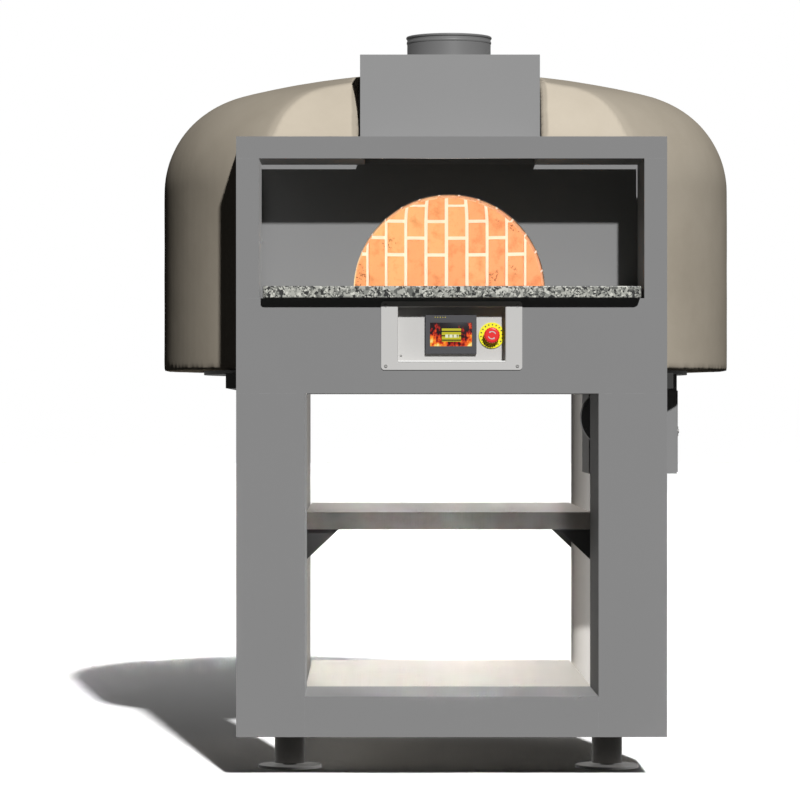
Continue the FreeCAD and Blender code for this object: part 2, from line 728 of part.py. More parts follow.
def service_cabinet():
    """Sheet cabinet hung under the dome, open on its right side, with hinge ears and pins."""
    body = open_box((CAB_X0, CAB_X1, CAB_FRONT, CAB_BACK, CAB_Z0, FRAME_Z0), CAB_SHEET, ("x1",))
    flange = open_box((FLANGE_X0, CAB_X1, CAB_FRONT, CAB_BACK, FRAME_Z0 - 1, FRAME_Z1),
                      CAB_SHEET, ("z0",))
    roof = block(FLANGE_X0, CAB_X1, CAB_FRONT, CAB_BACK, FRAME_Z0 - CAB_SHEET, FRAME_Z0)
    body = body.fuse(flange.cut(roof)).cut(motor_port()).cut(blower_port())
    pins = []
    for base in KNUCKLE_BASES:
        low = base - EAR_GAP - EAR_THICK
        high = base + KNUCKLE_LENGTH + EAR_GAP
        for z0 in (low, high):
            body = body.fuse(block(CAB_X1 - EAR_LENGTH, PIN_X + KNUCKLE_R, CAB_BACK - CAB_SHEET,
                                   PIN_DEPTH + PIN_R + 1, z0, z0 + EAR_THICK))
        pins.append(column(PIN_R, low, high + EAR_THICK, PIN_X, back(PIN_DEPTH)))
    return body.fuse(pins).removeSplitter()


def motor_port():
    """Hole in the cabinet's roof for the gearmotor's shaft."""
    radius = MOTOR_SHAFT_R + MOTOR_PORT_GAP
    return column(radius, FRAME_Z0 - CAB_SHEET - 1, FRAME_Z0 + 1, chain_centres())


def blower_port():
    """Hole in the cabinet's front for the blower's shaft."""
    radius = WHEEL_SHAFT_R + WHEEL_SHAFT_GAP
    return barrel(radius, CAB_FRONT - 1, CAB_FRONT + CAB_SHEET + 1, BLOWER_X, BLOWER_Z)


def cabinet_door():
    """Service door with two hinge knuckles on its rear edge."""
    x0 = DOOR_X1 - DOOR_THICK
    leaf_z = (CAB_Z0 + DOOR_GAP, FRAME_Z0 - DOOR_GAP)
    door = block(x0, DOOR_X1, CAB_FRONT + DOOR_GAP, CAB_BACK - DOOR_GAP, *leaf_z)
    for base in KNUCKLE_BASES:
        top = base + KNUCKLE_LENGTH
        door = door.fuse(block(DOOR_X1 - 0.5, DOOR_X1 + 2, CAB_BACK - KNUCKLE_STRAP, PIN_DEPTH, base, top))
        door = door.fuse(column(KNUCKLE_R, base, top, PIN_X, back(PIN_DEPTH)))
        door = door.cut(column(PIN_R + RUNNING, base - 1, top + 1, PIN_X, back(PIN_DEPTH)))
    z = (CAB_Z0 + FRAME_Z0) / 2
    hole = Part.makeCylinder(LATCH_R + 0.3, 8, V(x0 - 3, back(LATCH_DEPTH), z), X_AXIS)
    return door.cut(hole).removeSplitter()


def door_latch():
    """Quarter-turn latch: a knob outside, a spindle and a tongue behind the cabinet's front edge."""
    z = (CAB_Z0 + FRAME_Z0) / 2
    y = back(LATCH_DEPTH)
    rear = DOOR_X1 - DOOR_THICK - LATCH_REACH
    front = DOOR_X1 + LATCH_GAP
    spindle = Part.makeCylinder(LATCH_R, 2 * LATCH_REACH, V(rear, y, z), X_AXIS)
    knob = Part.makeCylinder(LATCH_KNOB_R, LATCH_KNOB_THICK, V(front, y, z), X_AXIS)
    deep, wide, tall = LATCH_GRIP
    grip = Part.makeBox(deep, wide, tall, V(front, y - wide / 2, z - tall / 2))
    deep, wide, tall = LATCH_TONGUE
    tongue = Part.makeBox(deep, wide, tall, V(rear, y + LATCH_TONGUE_BACK - wide, z - tall / 2))
    return spindle.fuse(knob).fuse(grip).fuse(tongue).removeSplitter()


def blower_housing():
    """Drum of the burner blower with a round intake and an upright outlet."""
    d0 = BLOWER_FRONT
    d1 = CAB_FRONT
    wall = BLOWER_SHEET
    half = BURNER_R
    top = FRAME_Z0 - 2
    outer = barrel(BLOWER_R, d0, d1, BLOWER_X, BLOWER_Z)
    outer = outer.fuse(block(BURNER_X - half, BURNER_X + half, d0, d1, BLOWER_Z, top))
    inner = barrel(BLOWER_R - wall, d0 + wall, d1 - wall, BLOWER_X, BLOWER_Z)
    inner = inner.fuse(block(BURNER_X - half + wall, BURNER_X + half - wall, d0 + wall, d1 - wall,
                             BLOWER_Z, top + 1))
    drum = outer.cut(inner)
    drum = drum.cut(barrel(BLOWER_INTAKE_R, d0 - 1, d0 + wall + 1, BLOWER_X, BLOWER_Z))
    return drum.cut(barrel(WHEEL_SHAFT_R + WHEEL_SHAFT_GAP, d1 - wall - 1, d1 + 1, BLOWER_X, BLOWER_Z))


def blower_wheel():
    """Impeller: back disc, front ring, blades between them and its shaft."""
    d0 = WHEEL_FRONT
    d1 = WHEEL_BACK
    wheel = barrel(WHEEL_R, d1 - WHEEL_DISC, d1, BLOWER_X, BLOWER_Z)
    front_ring = barrel(WHEEL_R, d0, d0 + WHEEL_DISC, BLOWER_X, BLOWER_Z)
    hole = barrel(WHEEL_R - WHEEL_RIM, d0 - 1, d0 + WHEEL_DISC + 1, BLOWER_X, BLOWER_Z)
    wheel = wheel.fuse(front_ring.cut(hole))
    tip = BLOWER_X + WHEEL_R - 1
    blades = []
    for i in range(WHEEL_BLADES):
        blade = block(tip - BLADE_DEPTH, tip, d0 + 1, d1 - 1, BLOWER_Z - BLADE_THICK / 2,
                      BLOWER_Z + BLADE_THICK / 2)
        blade.rotate(V(BLOWER_X, 0, BLOWER_Z), Y_AXIS, 360 * i / WHEEL_BLADES)
        blades.append(blade)
    wheel = wheel.fuse(blades)
    hub = barrel(WHEEL_HUB_R, d0 + 12, d1, BLOWER_X, BLOWER_Z)
    shaft = barrel(WHEEL_SHAFT_R, d0 + 8, WHEEL_SHAFT_END, BLOWER_X, BLOWER_Z)
    return wheel.fuse(hub).fuse(shaft).removeSplitter()


def blower_motor():
    """Blower motor behind the cabinet's front, with a bore for the wheel's shaft."""
    d0 = CAB_FRONT + CAB_SHEET
    end = d0 + BLOWER_MOTOR_LENGTH
    body = barrel(BLOWER_MOTOR_R, d0, end, BLOWER_X, BLOWER_Z)
    body = body.fuse(barrel(BLOWER_MOTOR_R - 10, end, end + BLOWER_MOTOR_CAP, BLOWER_X, BLOWER_Z))
    return body.cut(barrel(WHEEL_SHAFT_R + RUNNING, d0 - 1, WHEEL_SHAFT_END + 2, BLOWER_X, BLOWER_Z))


def burner_tube():
    """Bent tube from the blower to the port in the chamber's wall."""
    return burner_core(BURNER_R).cut(burner_core(BURNER_R - BURNER_WALL))


def screw_places():
    """X and Z of the screws at the bezel's corners."""
    z_mid = BEZEL_Z0 + BEZEL_HEIGHT / 2
    places = []
    for sx in (-1, 1):
        for sz in (-1, 1):
            places.append((sx * (BEZEL_WIDTH / 2 - SCREW_INSETS[0]),
                           z_mid + sz * (BEZEL_HEIGHT / 2 - SCREW_INSETS[1])))
    return places


def control_panel():
    """Recessed box behind the facade's window, and its bezel with the screws."""
    made = {}
    outer = (-WINDOW_HALF - RECESS_SHEET, WINDOW_HALF + RECESS_SHEET, 0,
             RECESS_DEPTH + RECESS_SHEET, WINDOW_Z0 - RECESS_SHEET, WINDOW_Z1 + RECESS_SHEET)
    recess = open_box(outer, RECESS_SHEET, ("d0",))
    hole = barrel(ESTOP_STEM_R + 1, RECESS_DEPTH - 1, RECESS_DEPTH + 3, ESTOP_X, ESTOP_Z)
    made["control_recess"] = recess.cut(hole)

    half = BEZEL_WIDTH / 2
    plate = block(-half, half, -SHEET, 0, BEZEL_Z0, BEZEL_Z0 + BEZEL_HEIGHT)
    plate = plate.makeFillet(BEZEL_CORNER, [e for e in plate.Edges if e.BoundBox.YLength > 1])
    plate = plate.cut(block(-WINDOW_HALF, WINDOW_HALF, -SHEET - 1, 1, WINDOW_Z0, WINDOW_Z1))
    rim = [e for e in plate.Edges
           if abs(e.BoundBox.YMin - back(-SHEET)) < 0.1 and e.BoundBox.YLength < 0.1
           and max(abs(e.BoundBox.XMin), abs(e.BoundBox.XMax)) < WINDOW_HALF + 1]
    plate = plate.makeChamfer(WINDOW_CHAMFER, rim)
    screws = []
    for x, z in screw_places():
        plate = plate.cut(barrel(SCREW_R + 0.2, -SHEET - 1, 1, x, z))
        shank = barrel(SCREW_R, -SHEET - 1, SHEET + SCREW_TAIL, x, z)
        screws.append(shank.fuse(barrel(SCREW_HEAD_R, -SHEET - SCREW_HEAD_THICK, -SHEET, x, z)))
    made["control_bezel"] = plate
    made["panel_screws"] = Part.Compound(screws)
    return made


def touchscreen():
    """Display case on the recess's back wall and the glass in its pocket."""
    made = {}
    width, height, deep = SCREEN_CASE
    front = RECESS_DEPTH - deep
    case = block(SCREEN_X - width / 2, SCREEN_X + width / 2, front, RECESS_DEPTH,
                 SCREEN_Z - height / 2, SCREEN_Z + height / 2)
    width, height, deep = SCREEN_GLASS
    pocket = block(SCREEN_X - width / 2, SCREEN_X + width / 2, front - 1, front + deep,
                   SCREEN_Z - height / 2, SCREEN_Z + height / 2)
    made["touchscreen_housing"] = case.cut(pocket)
    made["touchscreen_glass"] = block(SCREEN_X - width / 2, SCREEN_X + width / 2, front + 0.3,
                                      front + deep, SCREEN_Z - height / 2, SCREEN_Z + height / 2)
    return made


def emergency_stop():
    """Collar with its round warning plate, the pushing stem and the mushroom head."""
    wall = RECESS_DEPTH
    rear = wall - ESTOP_RISE
    plate = barrel(ESTOP_PLATE_R, wall - ESTOP_PLATE_THICK, wall, ESTOP_X, ESTOP_Z)
    collar = plate.fuse(barrel(ESTOP_COLLAR_R, wall - ESTOP_COLLAR_RISE, wall, ESTOP_X, ESTOP_Z))
    collar = collar.cut(barrel(ESTOP_STEM_R + RUNNING, 0, wall + 1, ESTOP_X, ESTOP_Z))
    stem = barrel(ESTOP_STEM_R, rear, wall + ESTOP_TAIL, ESTOP_X, ESTOP_Z)
    stem = stem.fuse(barrel(ESTOP_NECK_R, rear - ESTOP_NECK, rear + 1, ESTOP_X, ESTOP_Z))
    head = barrel(ESTOP_HEAD_R, rear - ESTOP_HEAD_THICK, rear - ESTOP_HEAD_GAP, ESTOP_X, ESTOP_Z)
    crown = min(head.Edges, key=lambda e: e.BoundBox.YMax)
    head = head.makeFillet(ESTOP_CROWN, [crown])
    head = head.cut(barrel(ESTOP_NECK_R + RUNNING, rear - ESTOP_NECK - 0.5, rear + 1, ESTOP_X, ESTOP_Z))
    return {
        "estop_collar": collar.removeSplitter(),
        "estop_plunger": stem.removeSplitter(),
        "estop_head": head,
    }


def build():
    """Every part of the oven by name."""
    parts = {}
    parts.update(legs())
    parts.update(feet())
    parts["base_frame"] = base_frame()
    parts["base_plate"] = base_plate()
    parts["bottom_tray"] = pan(TRAY_HALF, BAY_DEPTH + 0.5, TRAY_END, TRAY_Z, TRAY_LIP)
    parts["mid_shelf"] = pan(TRAY_HALF, BAY_DEPTH + 2, TRAY_END, SHELF_Z1, SHELF_Z1 - SHELF_Z0)
    parts["shelf_gussets"] = shelf_gussets()
    parts.update(facade())
    parts.update(bay_lining())
    parts.update(niche())
    parts["granite_shelf"] = granite_shelf()
    parts.update(hood())
    parts["dome_shell"] = dome_shell()
    parts["insulation_blanket"] = insulation_blanket()
    parts["refractory_dome"] = refractory_dome()
    parts["mouth_sill"] = mouth_sill()
    parts["hearth_insulation"] = hearth_insulation()
    parts.update(deck())
    parts["deck_bearings"] = deck_bearings()
    parts["drive_chain"] = drive_chain()
    parts["gearmotor"] = gearmotor()
    parts["motor_sprocket"] = motor_sprocket()
    parts["blower_housing"] = blower_housing()
    parts["blower_wheel"] = blower_wheel()
    parts["blower_motor"] = blower_motor()
    parts["burner_tube"] = burner_tube()
    parts["service_cabinet"] = service_cabinet()
    parts["cabinet_door"] = cabinet_door()
    parts["door_latch"] = door_latch()
    parts.update(control_panel())
    parts.update(touchscreen())
    parts.update(emergency_stop())
    return parts


def main():
    """Write one STEP file for each part."""
    os.makedirs("parts", exist_ok=True)
    for name, shape in build().items():
        solids = shape.Solids
        assert solids and all(s.isValid() and s.Volume > 0 for s in solids), name
        if len(solids) == 1:
            shape = solids[0]
        else:
            shape = Part.Compound(solids)
        shape.exportStep(f"parts/{name}.step")
        box = shape.BoundBox
        print(f"{name:22s} {len(solids)} solids {shape.Volume / 1e6:9.3f} l  "
              f"x {box.XMin:.1f} {box.XMax:.1f}  y {box.YMin:.1f} {box.YMax:.1f}  "
              f"z {box.ZMin:.1f} {box.ZMax:.1f}")


main()
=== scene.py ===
"""Looks of a floor-standing brick oven with a turning deck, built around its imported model."""

import json
import logging
import math
from dataclasses import dataclass
from enum import Enum
from typing import Sequence

import bmesh
import bpy
from mathutils import Matrix, Vector

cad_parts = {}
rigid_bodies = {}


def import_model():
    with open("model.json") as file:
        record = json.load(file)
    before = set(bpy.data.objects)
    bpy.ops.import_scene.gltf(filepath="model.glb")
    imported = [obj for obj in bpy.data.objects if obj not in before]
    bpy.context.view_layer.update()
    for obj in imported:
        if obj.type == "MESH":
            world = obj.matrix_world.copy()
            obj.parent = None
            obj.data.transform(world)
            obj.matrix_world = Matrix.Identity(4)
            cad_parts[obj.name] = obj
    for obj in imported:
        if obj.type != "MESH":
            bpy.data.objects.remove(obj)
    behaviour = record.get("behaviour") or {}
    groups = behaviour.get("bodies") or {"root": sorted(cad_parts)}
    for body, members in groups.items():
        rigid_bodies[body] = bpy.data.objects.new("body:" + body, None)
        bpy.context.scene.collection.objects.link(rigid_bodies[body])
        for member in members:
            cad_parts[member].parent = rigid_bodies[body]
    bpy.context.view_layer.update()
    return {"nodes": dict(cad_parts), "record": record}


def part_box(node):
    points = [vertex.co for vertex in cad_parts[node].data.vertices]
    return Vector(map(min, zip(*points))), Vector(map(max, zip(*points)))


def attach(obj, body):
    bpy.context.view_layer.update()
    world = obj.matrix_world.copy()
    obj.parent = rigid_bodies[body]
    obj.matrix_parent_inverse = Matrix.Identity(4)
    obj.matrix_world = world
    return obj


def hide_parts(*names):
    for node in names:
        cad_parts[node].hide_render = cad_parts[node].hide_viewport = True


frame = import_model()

LOG = logging.getLogger("oven")
TURN = 2 * math.pi
MM = 0.001

Colour = tuple[float, float, float]
Point = tuple[float, float, float]


class SocketKind(Enum):
    """Kinds of input and output that a node tree of this script may have."""

    GEOMETRY = "NodeSocketGeometry"
    FLOAT = "NodeSocketFloat"
    INTEGER = "NodeSocketInt"
    VECTOR = "NodeSocketVector"
    COLOUR = "NodeSocketColor"
    OBJECT = "NodeSocketObject"
    MATERIAL = "NodeSocketMaterial"


class Body(Enum):
    """Rigid bodies of the oven that pieces ride on."""

    ROOT = "root"
    DECK = "deck"
    MOTOR = "motor_drive"
    ROTOR = "blower_rotor"
    DOOR = "door"
    LATCH = "latch"
    STOP_STEM = "stop_plunger"
    STOP_HEAD = "stop_head"


# --- Node trees -------------------------------------------------------------------------------


class Graph:
    """A node tree that is being filled in."""

    def __init__(self, tree: bpy.types.NodeTree) -> None:
        """Keep the tree to add to."""
        self.tree = tree

    def add(self, kind: str, inputs: dict | None = None, **settings: object) -> bpy.types.Node:
        """Add a node.

        Args:
            kind: The node's type.
            inputs: Values or sockets for its inputs, by name or index.
            **settings: Properties of the node, set before its inputs.

        Returns:
            The new node.
        """
        node = self.tree.nodes.new(kind)
        for key, value in settings.items():
            setattr(node, key, value)
        for key, value in (inputs or {}).items():
            self.feed(node, key, value)
        return node

    def feed(self, node: bpy.types.Node, key: str | int, value: object) -> None:
        """Set or link one input.

        Args:
            node: The node to feed.
            key: Name or index of its input.
            value: A constant, or the socket to link from.
        """
        if isinstance(key, int):
            socket = node.inputs[key]
        else:
            socket = next(s for s in node.inputs if s.name == key and s.enabled)
        if isinstance(value, bpy.types.NodeSocket):
            self.tree.links.new(value, socket)
        else:
            socket.default_value = value

    def maths(self, operation: str, *values: object) -> bpy.types.NodeSocket:
        """Result of a maths node on one to three values or sockets."""
        return self.add("ShaderNodeMath", dict(enumerate(values)), operation=operation).outputs[0]

    def clamp(self, value: object, low: float, high: float) -> bpy.types.NodeSocket:
        """A value brought from the range low to high into 0 to 1."""
        found = {"Value": value, "From Min": low, "From Max": high}
        return self.add("ShaderNodeMapRange", found, clamp=True).outputs[0]

    def mix(self, factor: object, first: object, second: object,
            blend: str = "MIX") -> bpy.types.NodeSocket:
        """Colour between two others.

        Args:
            factor: Share of the second colour.
            first: Colour or socket.
            second: Colour or socket.
            blend: How the two are mixed.

        Returns:
            The mixed colour.
        """
        node = self.add("ShaderNodeMix", data_type="RGBA", blend_type=blend)
        self.feed(node, 0, factor)
        self.feed(node, 6, rgba(first))
        self.feed(node, 7, rgba(second))
        return node.outputs[2]

    def noise(self, place: object, scale: object, detail: float = 2.0,
              roughness: float = 0.5) -> bpy.types.NodeSocket:
        """Soft noise from 0 to 1 at a place."""
        found = {"Vector": place, "Scale": scale, "Detail": detail, "Roughness": roughness}
        return self.add("ShaderNodeTexNoise", found).outputs[0]

    def ramp(self, factor: object, stops: Sequence[tuple[float, Colour]],
             stepped: bool = False) -> bpy.types.NodeSocket:
        """Colour read from a ramp.

        Args:
            factor: Where to read, from 0 to 1.
            stops: Positions and colours, in order.
            stepped: True for hard steps.

        Returns:
            The colour there.
        """
        node = self.add("ShaderNodeValToRGB", {0: factor})
        node.color_ramp.interpolation = "CONSTANT" if stepped else "LINEAR"
        elements = node.color_ramp.elements
        while len(elements) < len(stops):
            elements.new(1.0)
        for element, (position, colour) in zip(elements, stops):
            element.position = position
            element.color = rgba(colour)
        return node.outputs[0]

    def split(self, vector: object) -> list[bpy.types.NodeSocket]:
        """X, Y and Z of a vector."""
        return list(self.add("ShaderNodeSeparateXYZ", {0: vector}).outputs)

    def join(self, x: object, y: object, z: object) -> bpy.types.NodeSocket:
        """Vector made of three values."""
        return self.add("ShaderNodeCombineXYZ", {0: x, 1: y, 2: z}).outputs[0]

    def vector(self, operation: str, *values: object) -> bpy.types.NodeSocket:
        """Result of a vector maths node, a number where the operation gives one."""
        found = {0: values[0]}
        if len(values) > 1:
            found[3 if operation == "SCALE" else 1] = values[1]
        node = self.add("ShaderNodeVectorMath", found, operation=operation)
        return node.outputs[1 if operation in ("DOT_PRODUCT", "LENGTH", "DISTANCE") else 0]


def rgba(colour: object) -> object:
    """A colour with its alpha, or the socket as it is."""
    if isinstance(colour, bpy.types.NodeSocket) or len(colour) == 4:
        return colour
    return (*colour, 1.0)


class EffectGroup:
    """A shader effect as a node group, built once and placed in many materials."""

    def __init__(self, name: str, inputs: dict[str, object], outputs: dict[str, SocketKind]) -> None:
        """Make the group's tree and its sockets.

        Args:
            name: The group's name.
            inputs: Each input with its default.
            outputs: Each output with its kind.
        """
        self.tree = bpy.data.node_groups.new(name, "ShaderNodeTree")
        face = self.tree.interface
        for label, value in inputs.items():
            kind = SocketKind.COLOUR if isinstance(value, tuple) else SocketKind.FLOAT
            socket = face.new_socket(name=label, in_out="INPUT", socket_type=kind.value)
            socket.default_value = rgba(value) if isinstance(value, tuple) else value
        for label, kind in outputs.items():
            face.new_socket(name=label, in_out="OUTPUT", socket_type=kind.value)
        self.graph = Graph(self.tree)
        self.given = self.graph.add("NodeGroupInput").outputs
        self.result = self.graph.add("NodeGroupOutput")
        self.place = self.graph.add("ShaderNodeTexCoord").outputs["Object"]

    def end(self, **outputs: object) -> None:
        """Link the group's outputs, by name."""
        for label, socket in outputs.items():
            self.graph.feed(self.result, label, socket)

    def put(self, graph: Graph, **values: object) -> bpy.types.NodeOutputs:
        """Place the group in a material.

        Args:
            graph: The material's tree.
            **values: Inputs, by name with spaces written as underscores.

        Returns:
            The group's outputs.
        """
        node = graph.add("ShaderNodeGroup", node_tree=self.tree)
        for label, value in values.items():
            graph.feed(node, label.replace("_", " "), rgba(value) if isinstance(value, tuple) else value)
        return node.outputs


class Effects:
    """Every shared shader effect."""

    def __init__(self) -> None:
        """Build each group once."""
        self.weather = self.make_weather()
        self.relief = self.make_relief()
        self.brush = self.make_brush()
        self.mottle = self.make_mottle()

    @staticmethod
    def make_weather() -> EffectGroup:
        """Paint or bare surface with worn edges, dust on what faces up, and faint blotches."""
        group = EffectGroup("weather", {
            "Base": (0.5, 0.5, 0.5), "Worn": (0.6, 0.6, 0.6), "Dust Tint": (0.5, 0.48, 0.44),
            "Blotch Scale": 4.0, "Blotch": 0.05, "Edge": 0.0015, "Wear": 0.3, "Dust": 0.1,
            "Roughness": 0.5,
        }, {"Color": SocketKind.COLOUR, "Roughness": SocketKind.FLOAT})
        graph, given, place = group.graph, group.given, group.place
        geometry = graph.add("ShaderNodeNewGeometry")
        bevel = graph.add("ShaderNodeBevel", {"Radius": given["Edge"]}, samples=4)
        facing = graph.vector("DOT_PRODUCT", bevel.outputs[0], geometry.outputs["Normal"])
        edge = graph.clamp(graph.maths("SUBTRACT", 1.0, facing), 0.015, 0.12)
        chips = graph.clamp(graph.noise(place, 55.0, 4.0, 0.7), 0.42, 0.6)
        worn = graph.maths("MULTIPLY", graph.maths("MULTIPLY", edge, chips), given["Wear"])
        blotch = graph.noise(place, given["Blotch Scale"], 5.0, 0.6)
        centred = graph.maths("MULTIPLY", graph.maths("SUBTRACT", blotch, 0.5), 2.0)
        gain = graph.maths("ADD", 1.0, graph.maths("MULTIPLY", centred, given["Blotch"]))
        toned = graph.vector("SCALE", given["Base"], gain)
        up = graph.clamp(graph.split(geometry.outputs["Normal"])[2], 0.55, 0.95)
        drift = graph.clamp(graph.noise(place, 14.0, 5.0, 0.65), 0.35, 0.7)
        dust = graph.maths("MULTIPLY", graph.maths("MULTIPLY", up, drift), given["Dust"])
        colour = graph.mix(dust, graph.mix(worn, toned, given["Worn"]), given["Dust Tint"])
        rough = graph.maths("ADD", given["Roughness"], graph.maths("MULTIPLY", centred, 0.06))
        rough = graph.maths("ADD", rough, graph.maths("MULTIPLY", dust, 0.3))
        group.end(Color=colour, Roughness=rough)
        return group

    @staticmethod
    def make_relief() -> EffectGroup:
        """Fine height, from orange peel to sand, with a coarser swell under it."""
        group = EffectGroup("relief", {"Fine Scale": 600.0, "Coarse Scale": 60.0, "Coarse Share": 0.3},
                            {"Height": SocketKind.FLOAT})
        graph, given, place = group.graph, group.given, group.place
        fine = graph.noise(place, given["Fine Scale"], 3.0, 0.6)
        coarse = graph.noise(place, given["Coarse Scale"], 3.0, 0.5)
        share = graph.maths("MULTIPLY", coarse, given["Coarse Share"])
        rest = graph.maths("MULTIPLY", fine, graph.maths("SUBTRACT", 1.0, given["Coarse Share"]))
        group.end(Height=graph.maths("ADD", share, rest))
        return group

    @staticmethod
    def make_brush() -> EffectGroup:
        """Fine lines along one direction, as brushing or turning leaves on metal."""
        group = EffectGroup("brush", {"Scale": 900.0, "Along X": 0.03, "Along Z": 1.0, "Depth": 0.15,
                                      "Roughness": 0.3},
                            {"Roughness": SocketKind.FLOAT, "Height": SocketKind.FLOAT})
        graph, given, place = group.graph, group.given, group.place
        x, y, z = graph.split(place)
        drawn = graph.join(graph.maths("MULTIPLY", x, given["Along X"]), y,
                           graph.maths("MULTIPLY", z, given["Along Z"]))
        lines = graph.noise(drawn, given["Scale"], 2.0, 0.6)
        spread = graph.maths("MULTIPLY", graph.maths("SUBTRACT", lines, 0.5), given["Depth"])
        group.end(Roughness=graph.maths("ADD", given["Roughness"], spread), Height=lines)
        return group

    @staticmethod
    def make_mottle() -> EffectGroup:
        """Three tones that drift into each other, for plaster, brick and stone."""
        group = EffectGroup("mottle", {
            "Low": (0.4, 0.4, 0.4), "Middle": (0.5, 0.5, 0.5), "High": (0.6, 0.6, 0.6),
            "Scale": 6.0, "Speck Scale": 180.0, "Specks": 0.1,
        }, {"Color": SocketKind.COLOUR, "Mask": SocketKind.FLOAT})
        graph, given, place = group.graph, group.given, group.place
        drift = graph.noise(place, given["Scale"], 6.0, 0.6)
        low = graph.clamp(drift, 0.32, 0.5)
        high = graph.clamp(drift, 0.5, 0.68)
        toned = graph.mix(high, graph.mix(low, given["Low"], given["Middle"]), given["High"])
        specks = graph.clamp(graph.noise(place, given["Speck Scale"], 2.0, 0.7), 0.6, 0.72)
        share = graph.maths("MULTIPLY", specks, given["Specks"])
        group.end(Color=graph.mix(share, toned, given["Low"]), Mask=drift)
        return group


EFFECTS = Effects()


# --- Finishes ---------------------------------------------------------------------------------


@dataclass(frozen=True)
class Finish:
    """A surface finish. Each kind fills in its own shader."""

    name: str

    def material(self) -> bpy.types.Material:
        """The finish as a material, made on its first use."""
        label = "finish_" + self.name
        made = bpy.data.materials.get(label)
        if made is None:
            made = bpy.data.materials.new(label)
            made.use_nodes = True
            graph = Graph(made.node_tree)
            self.shade(graph, made.node_tree.nodes["Principled BSDF"])
        return made

    def shade(self, graph: Graph, shader: bpy.types.Node) -> None:
        """Fill in the shader; each kind of finish has its own way."""
        raise NotImplementedError

    @staticmethod
    def emboss(graph: Graph, shader: bpy.types.Node, height: object, depth: float,
               strength: float = 0.6) -> None:
        """Bump the shader's normal.

        Args:
            graph: The material's tree.
            shader: Its shader.
            height: Height from 0 to 1.
            depth: What 1 stands for, in metres.
            strength: Share of the effect.
        """
        found = {"Height": height, "Distance": depth, "Strength": strength}
        graph.feed(shader, "Normal", graph.add("ShaderNodeBump", found).outputs[0])


@dataclass(frozen=True)
class Paint(Finish):
    """Powder coat, enamel or moulded plastic."""

    base: Colour
    roughness: float = 0.5
    gloss: float = 0.35
    blotch: float = 0.03
    wear: float = 0.25
    dust: float = 0.06
    worn: Colour = (0.42, 0.42, 0.43)
    peel_scale: float = 650.0
    peel_depth: float = 0.00004
    coat: float = 0.0

    def shade(self, graph: Graph, shader: bpy.types.Node) -> None:
        """Weathered colour over a fine orange peel."""
        out = EFFECTS.weather.put(graph, Base=self.base, Worn=self.worn, Blotch=self.blotch,
                                  Wear=self.wear, Dust=self.dust, Roughness=self.roughness)
        graph.feed(shader, "Base Color", out["Color"])
        graph.feed(shader, "Roughness", out["Roughness"])
        graph.feed(shader, "Specular IOR Level", self.gloss)
        graph.feed(shader, "Coat Weight", self.coat)
        height = EFFECTS.relief.put(graph, Fine_Scale=self.peel_scale)["Height"]
        self.emboss(graph, shader, height, self.peel_depth)


@dataclass(frozen=True)
class Metal(Finish):
    """Bare or plated metal with brushing or turning lines."""

    base: Colour
    roughness: float = 0.35
    lines: float = 900.0
    along_x: float = 0.03
    along_z: float = 1.0
    line_depth: float = 0.00002
    blotch: float = 0.08
    dust: float = 0.08

    def shade(self, graph: Graph, shader: bpy.types.Node) -> None:
        """Metal colour with lines in its roughness and its height."""
        lines = EFFECTS.brush.put(graph, Scale=self.lines, Along_X=self.along_x, Along_Z=self.along_z,
                                  Roughness=self.roughness)
        out = EFFECTS.weather.put(graph, Base=self.base, Worn=self.base, Blotch=self.blotch,
                                  Dust=self.dust, Roughness=self.roughness)
        graph.feed(shader, "Base Color", out["Color"])
        graph.feed(shader, "Metallic", 1.0)
        graph.feed(shader, "Roughness", lines["Roughness"])
        self.emboss(graph, shader, lines["Height"], self.line_depth)


@dataclass(frozen=True)
class Plaster(Finish):
    """Trowelled stucco, cast refractory or fibre board."""

    low: Colour
    middle: Colour
    high: Colour
    scale: float = 3.0
    sand_scale: float = 240.0
    sand_depth: float = 0.0005
    swell: float = 9.0
    roughness: float = 0.9
    painted_light_front_gain: float = 1.0

    def shade(self, graph: Graph, shader: bpy.types.Node) -> None:
        """Three drifting tones over sand and trowel marks, with painted light: faces whose normal points
        little along X are brightened.
        """
        tone = EFFECTS.mottle.put(graph, Low=self.low, Middle=self.middle, High=self.high,
                                  Scale=self.scale, Specks=0.12)
        # Painted light: faces whose normal has little X, such as the dome's flat front, get a brighter colour
        # through the front gain.
        across = graph.split(graph.add("ShaderNodeNewGeometry").outputs["Normal"])[0]
        square = graph.clamp(graph.maths("ABSOLUTE", across), 0.12, 0.02)
        gain = graph.maths("ADD", 1.0, graph.maths("MULTIPLY", square, self.painted_light_front_gain - 1.0))
        graph.feed(shader, "Base Color", graph.vector("SCALE", tone["Color"], gain))
        graph.feed(shader, "Roughness", self.roughness)
        graph.feed(shader, "Specular IOR Level", 0.0)
        height = EFFECTS.relief.put(graph, Fine_Scale=self.sand_scale, Coarse_Scale=self.swell,
                                    Coarse_Share=0.55)["Height"]
        self.emboss(graph, shader, height, self.sand_depth, 0.7)


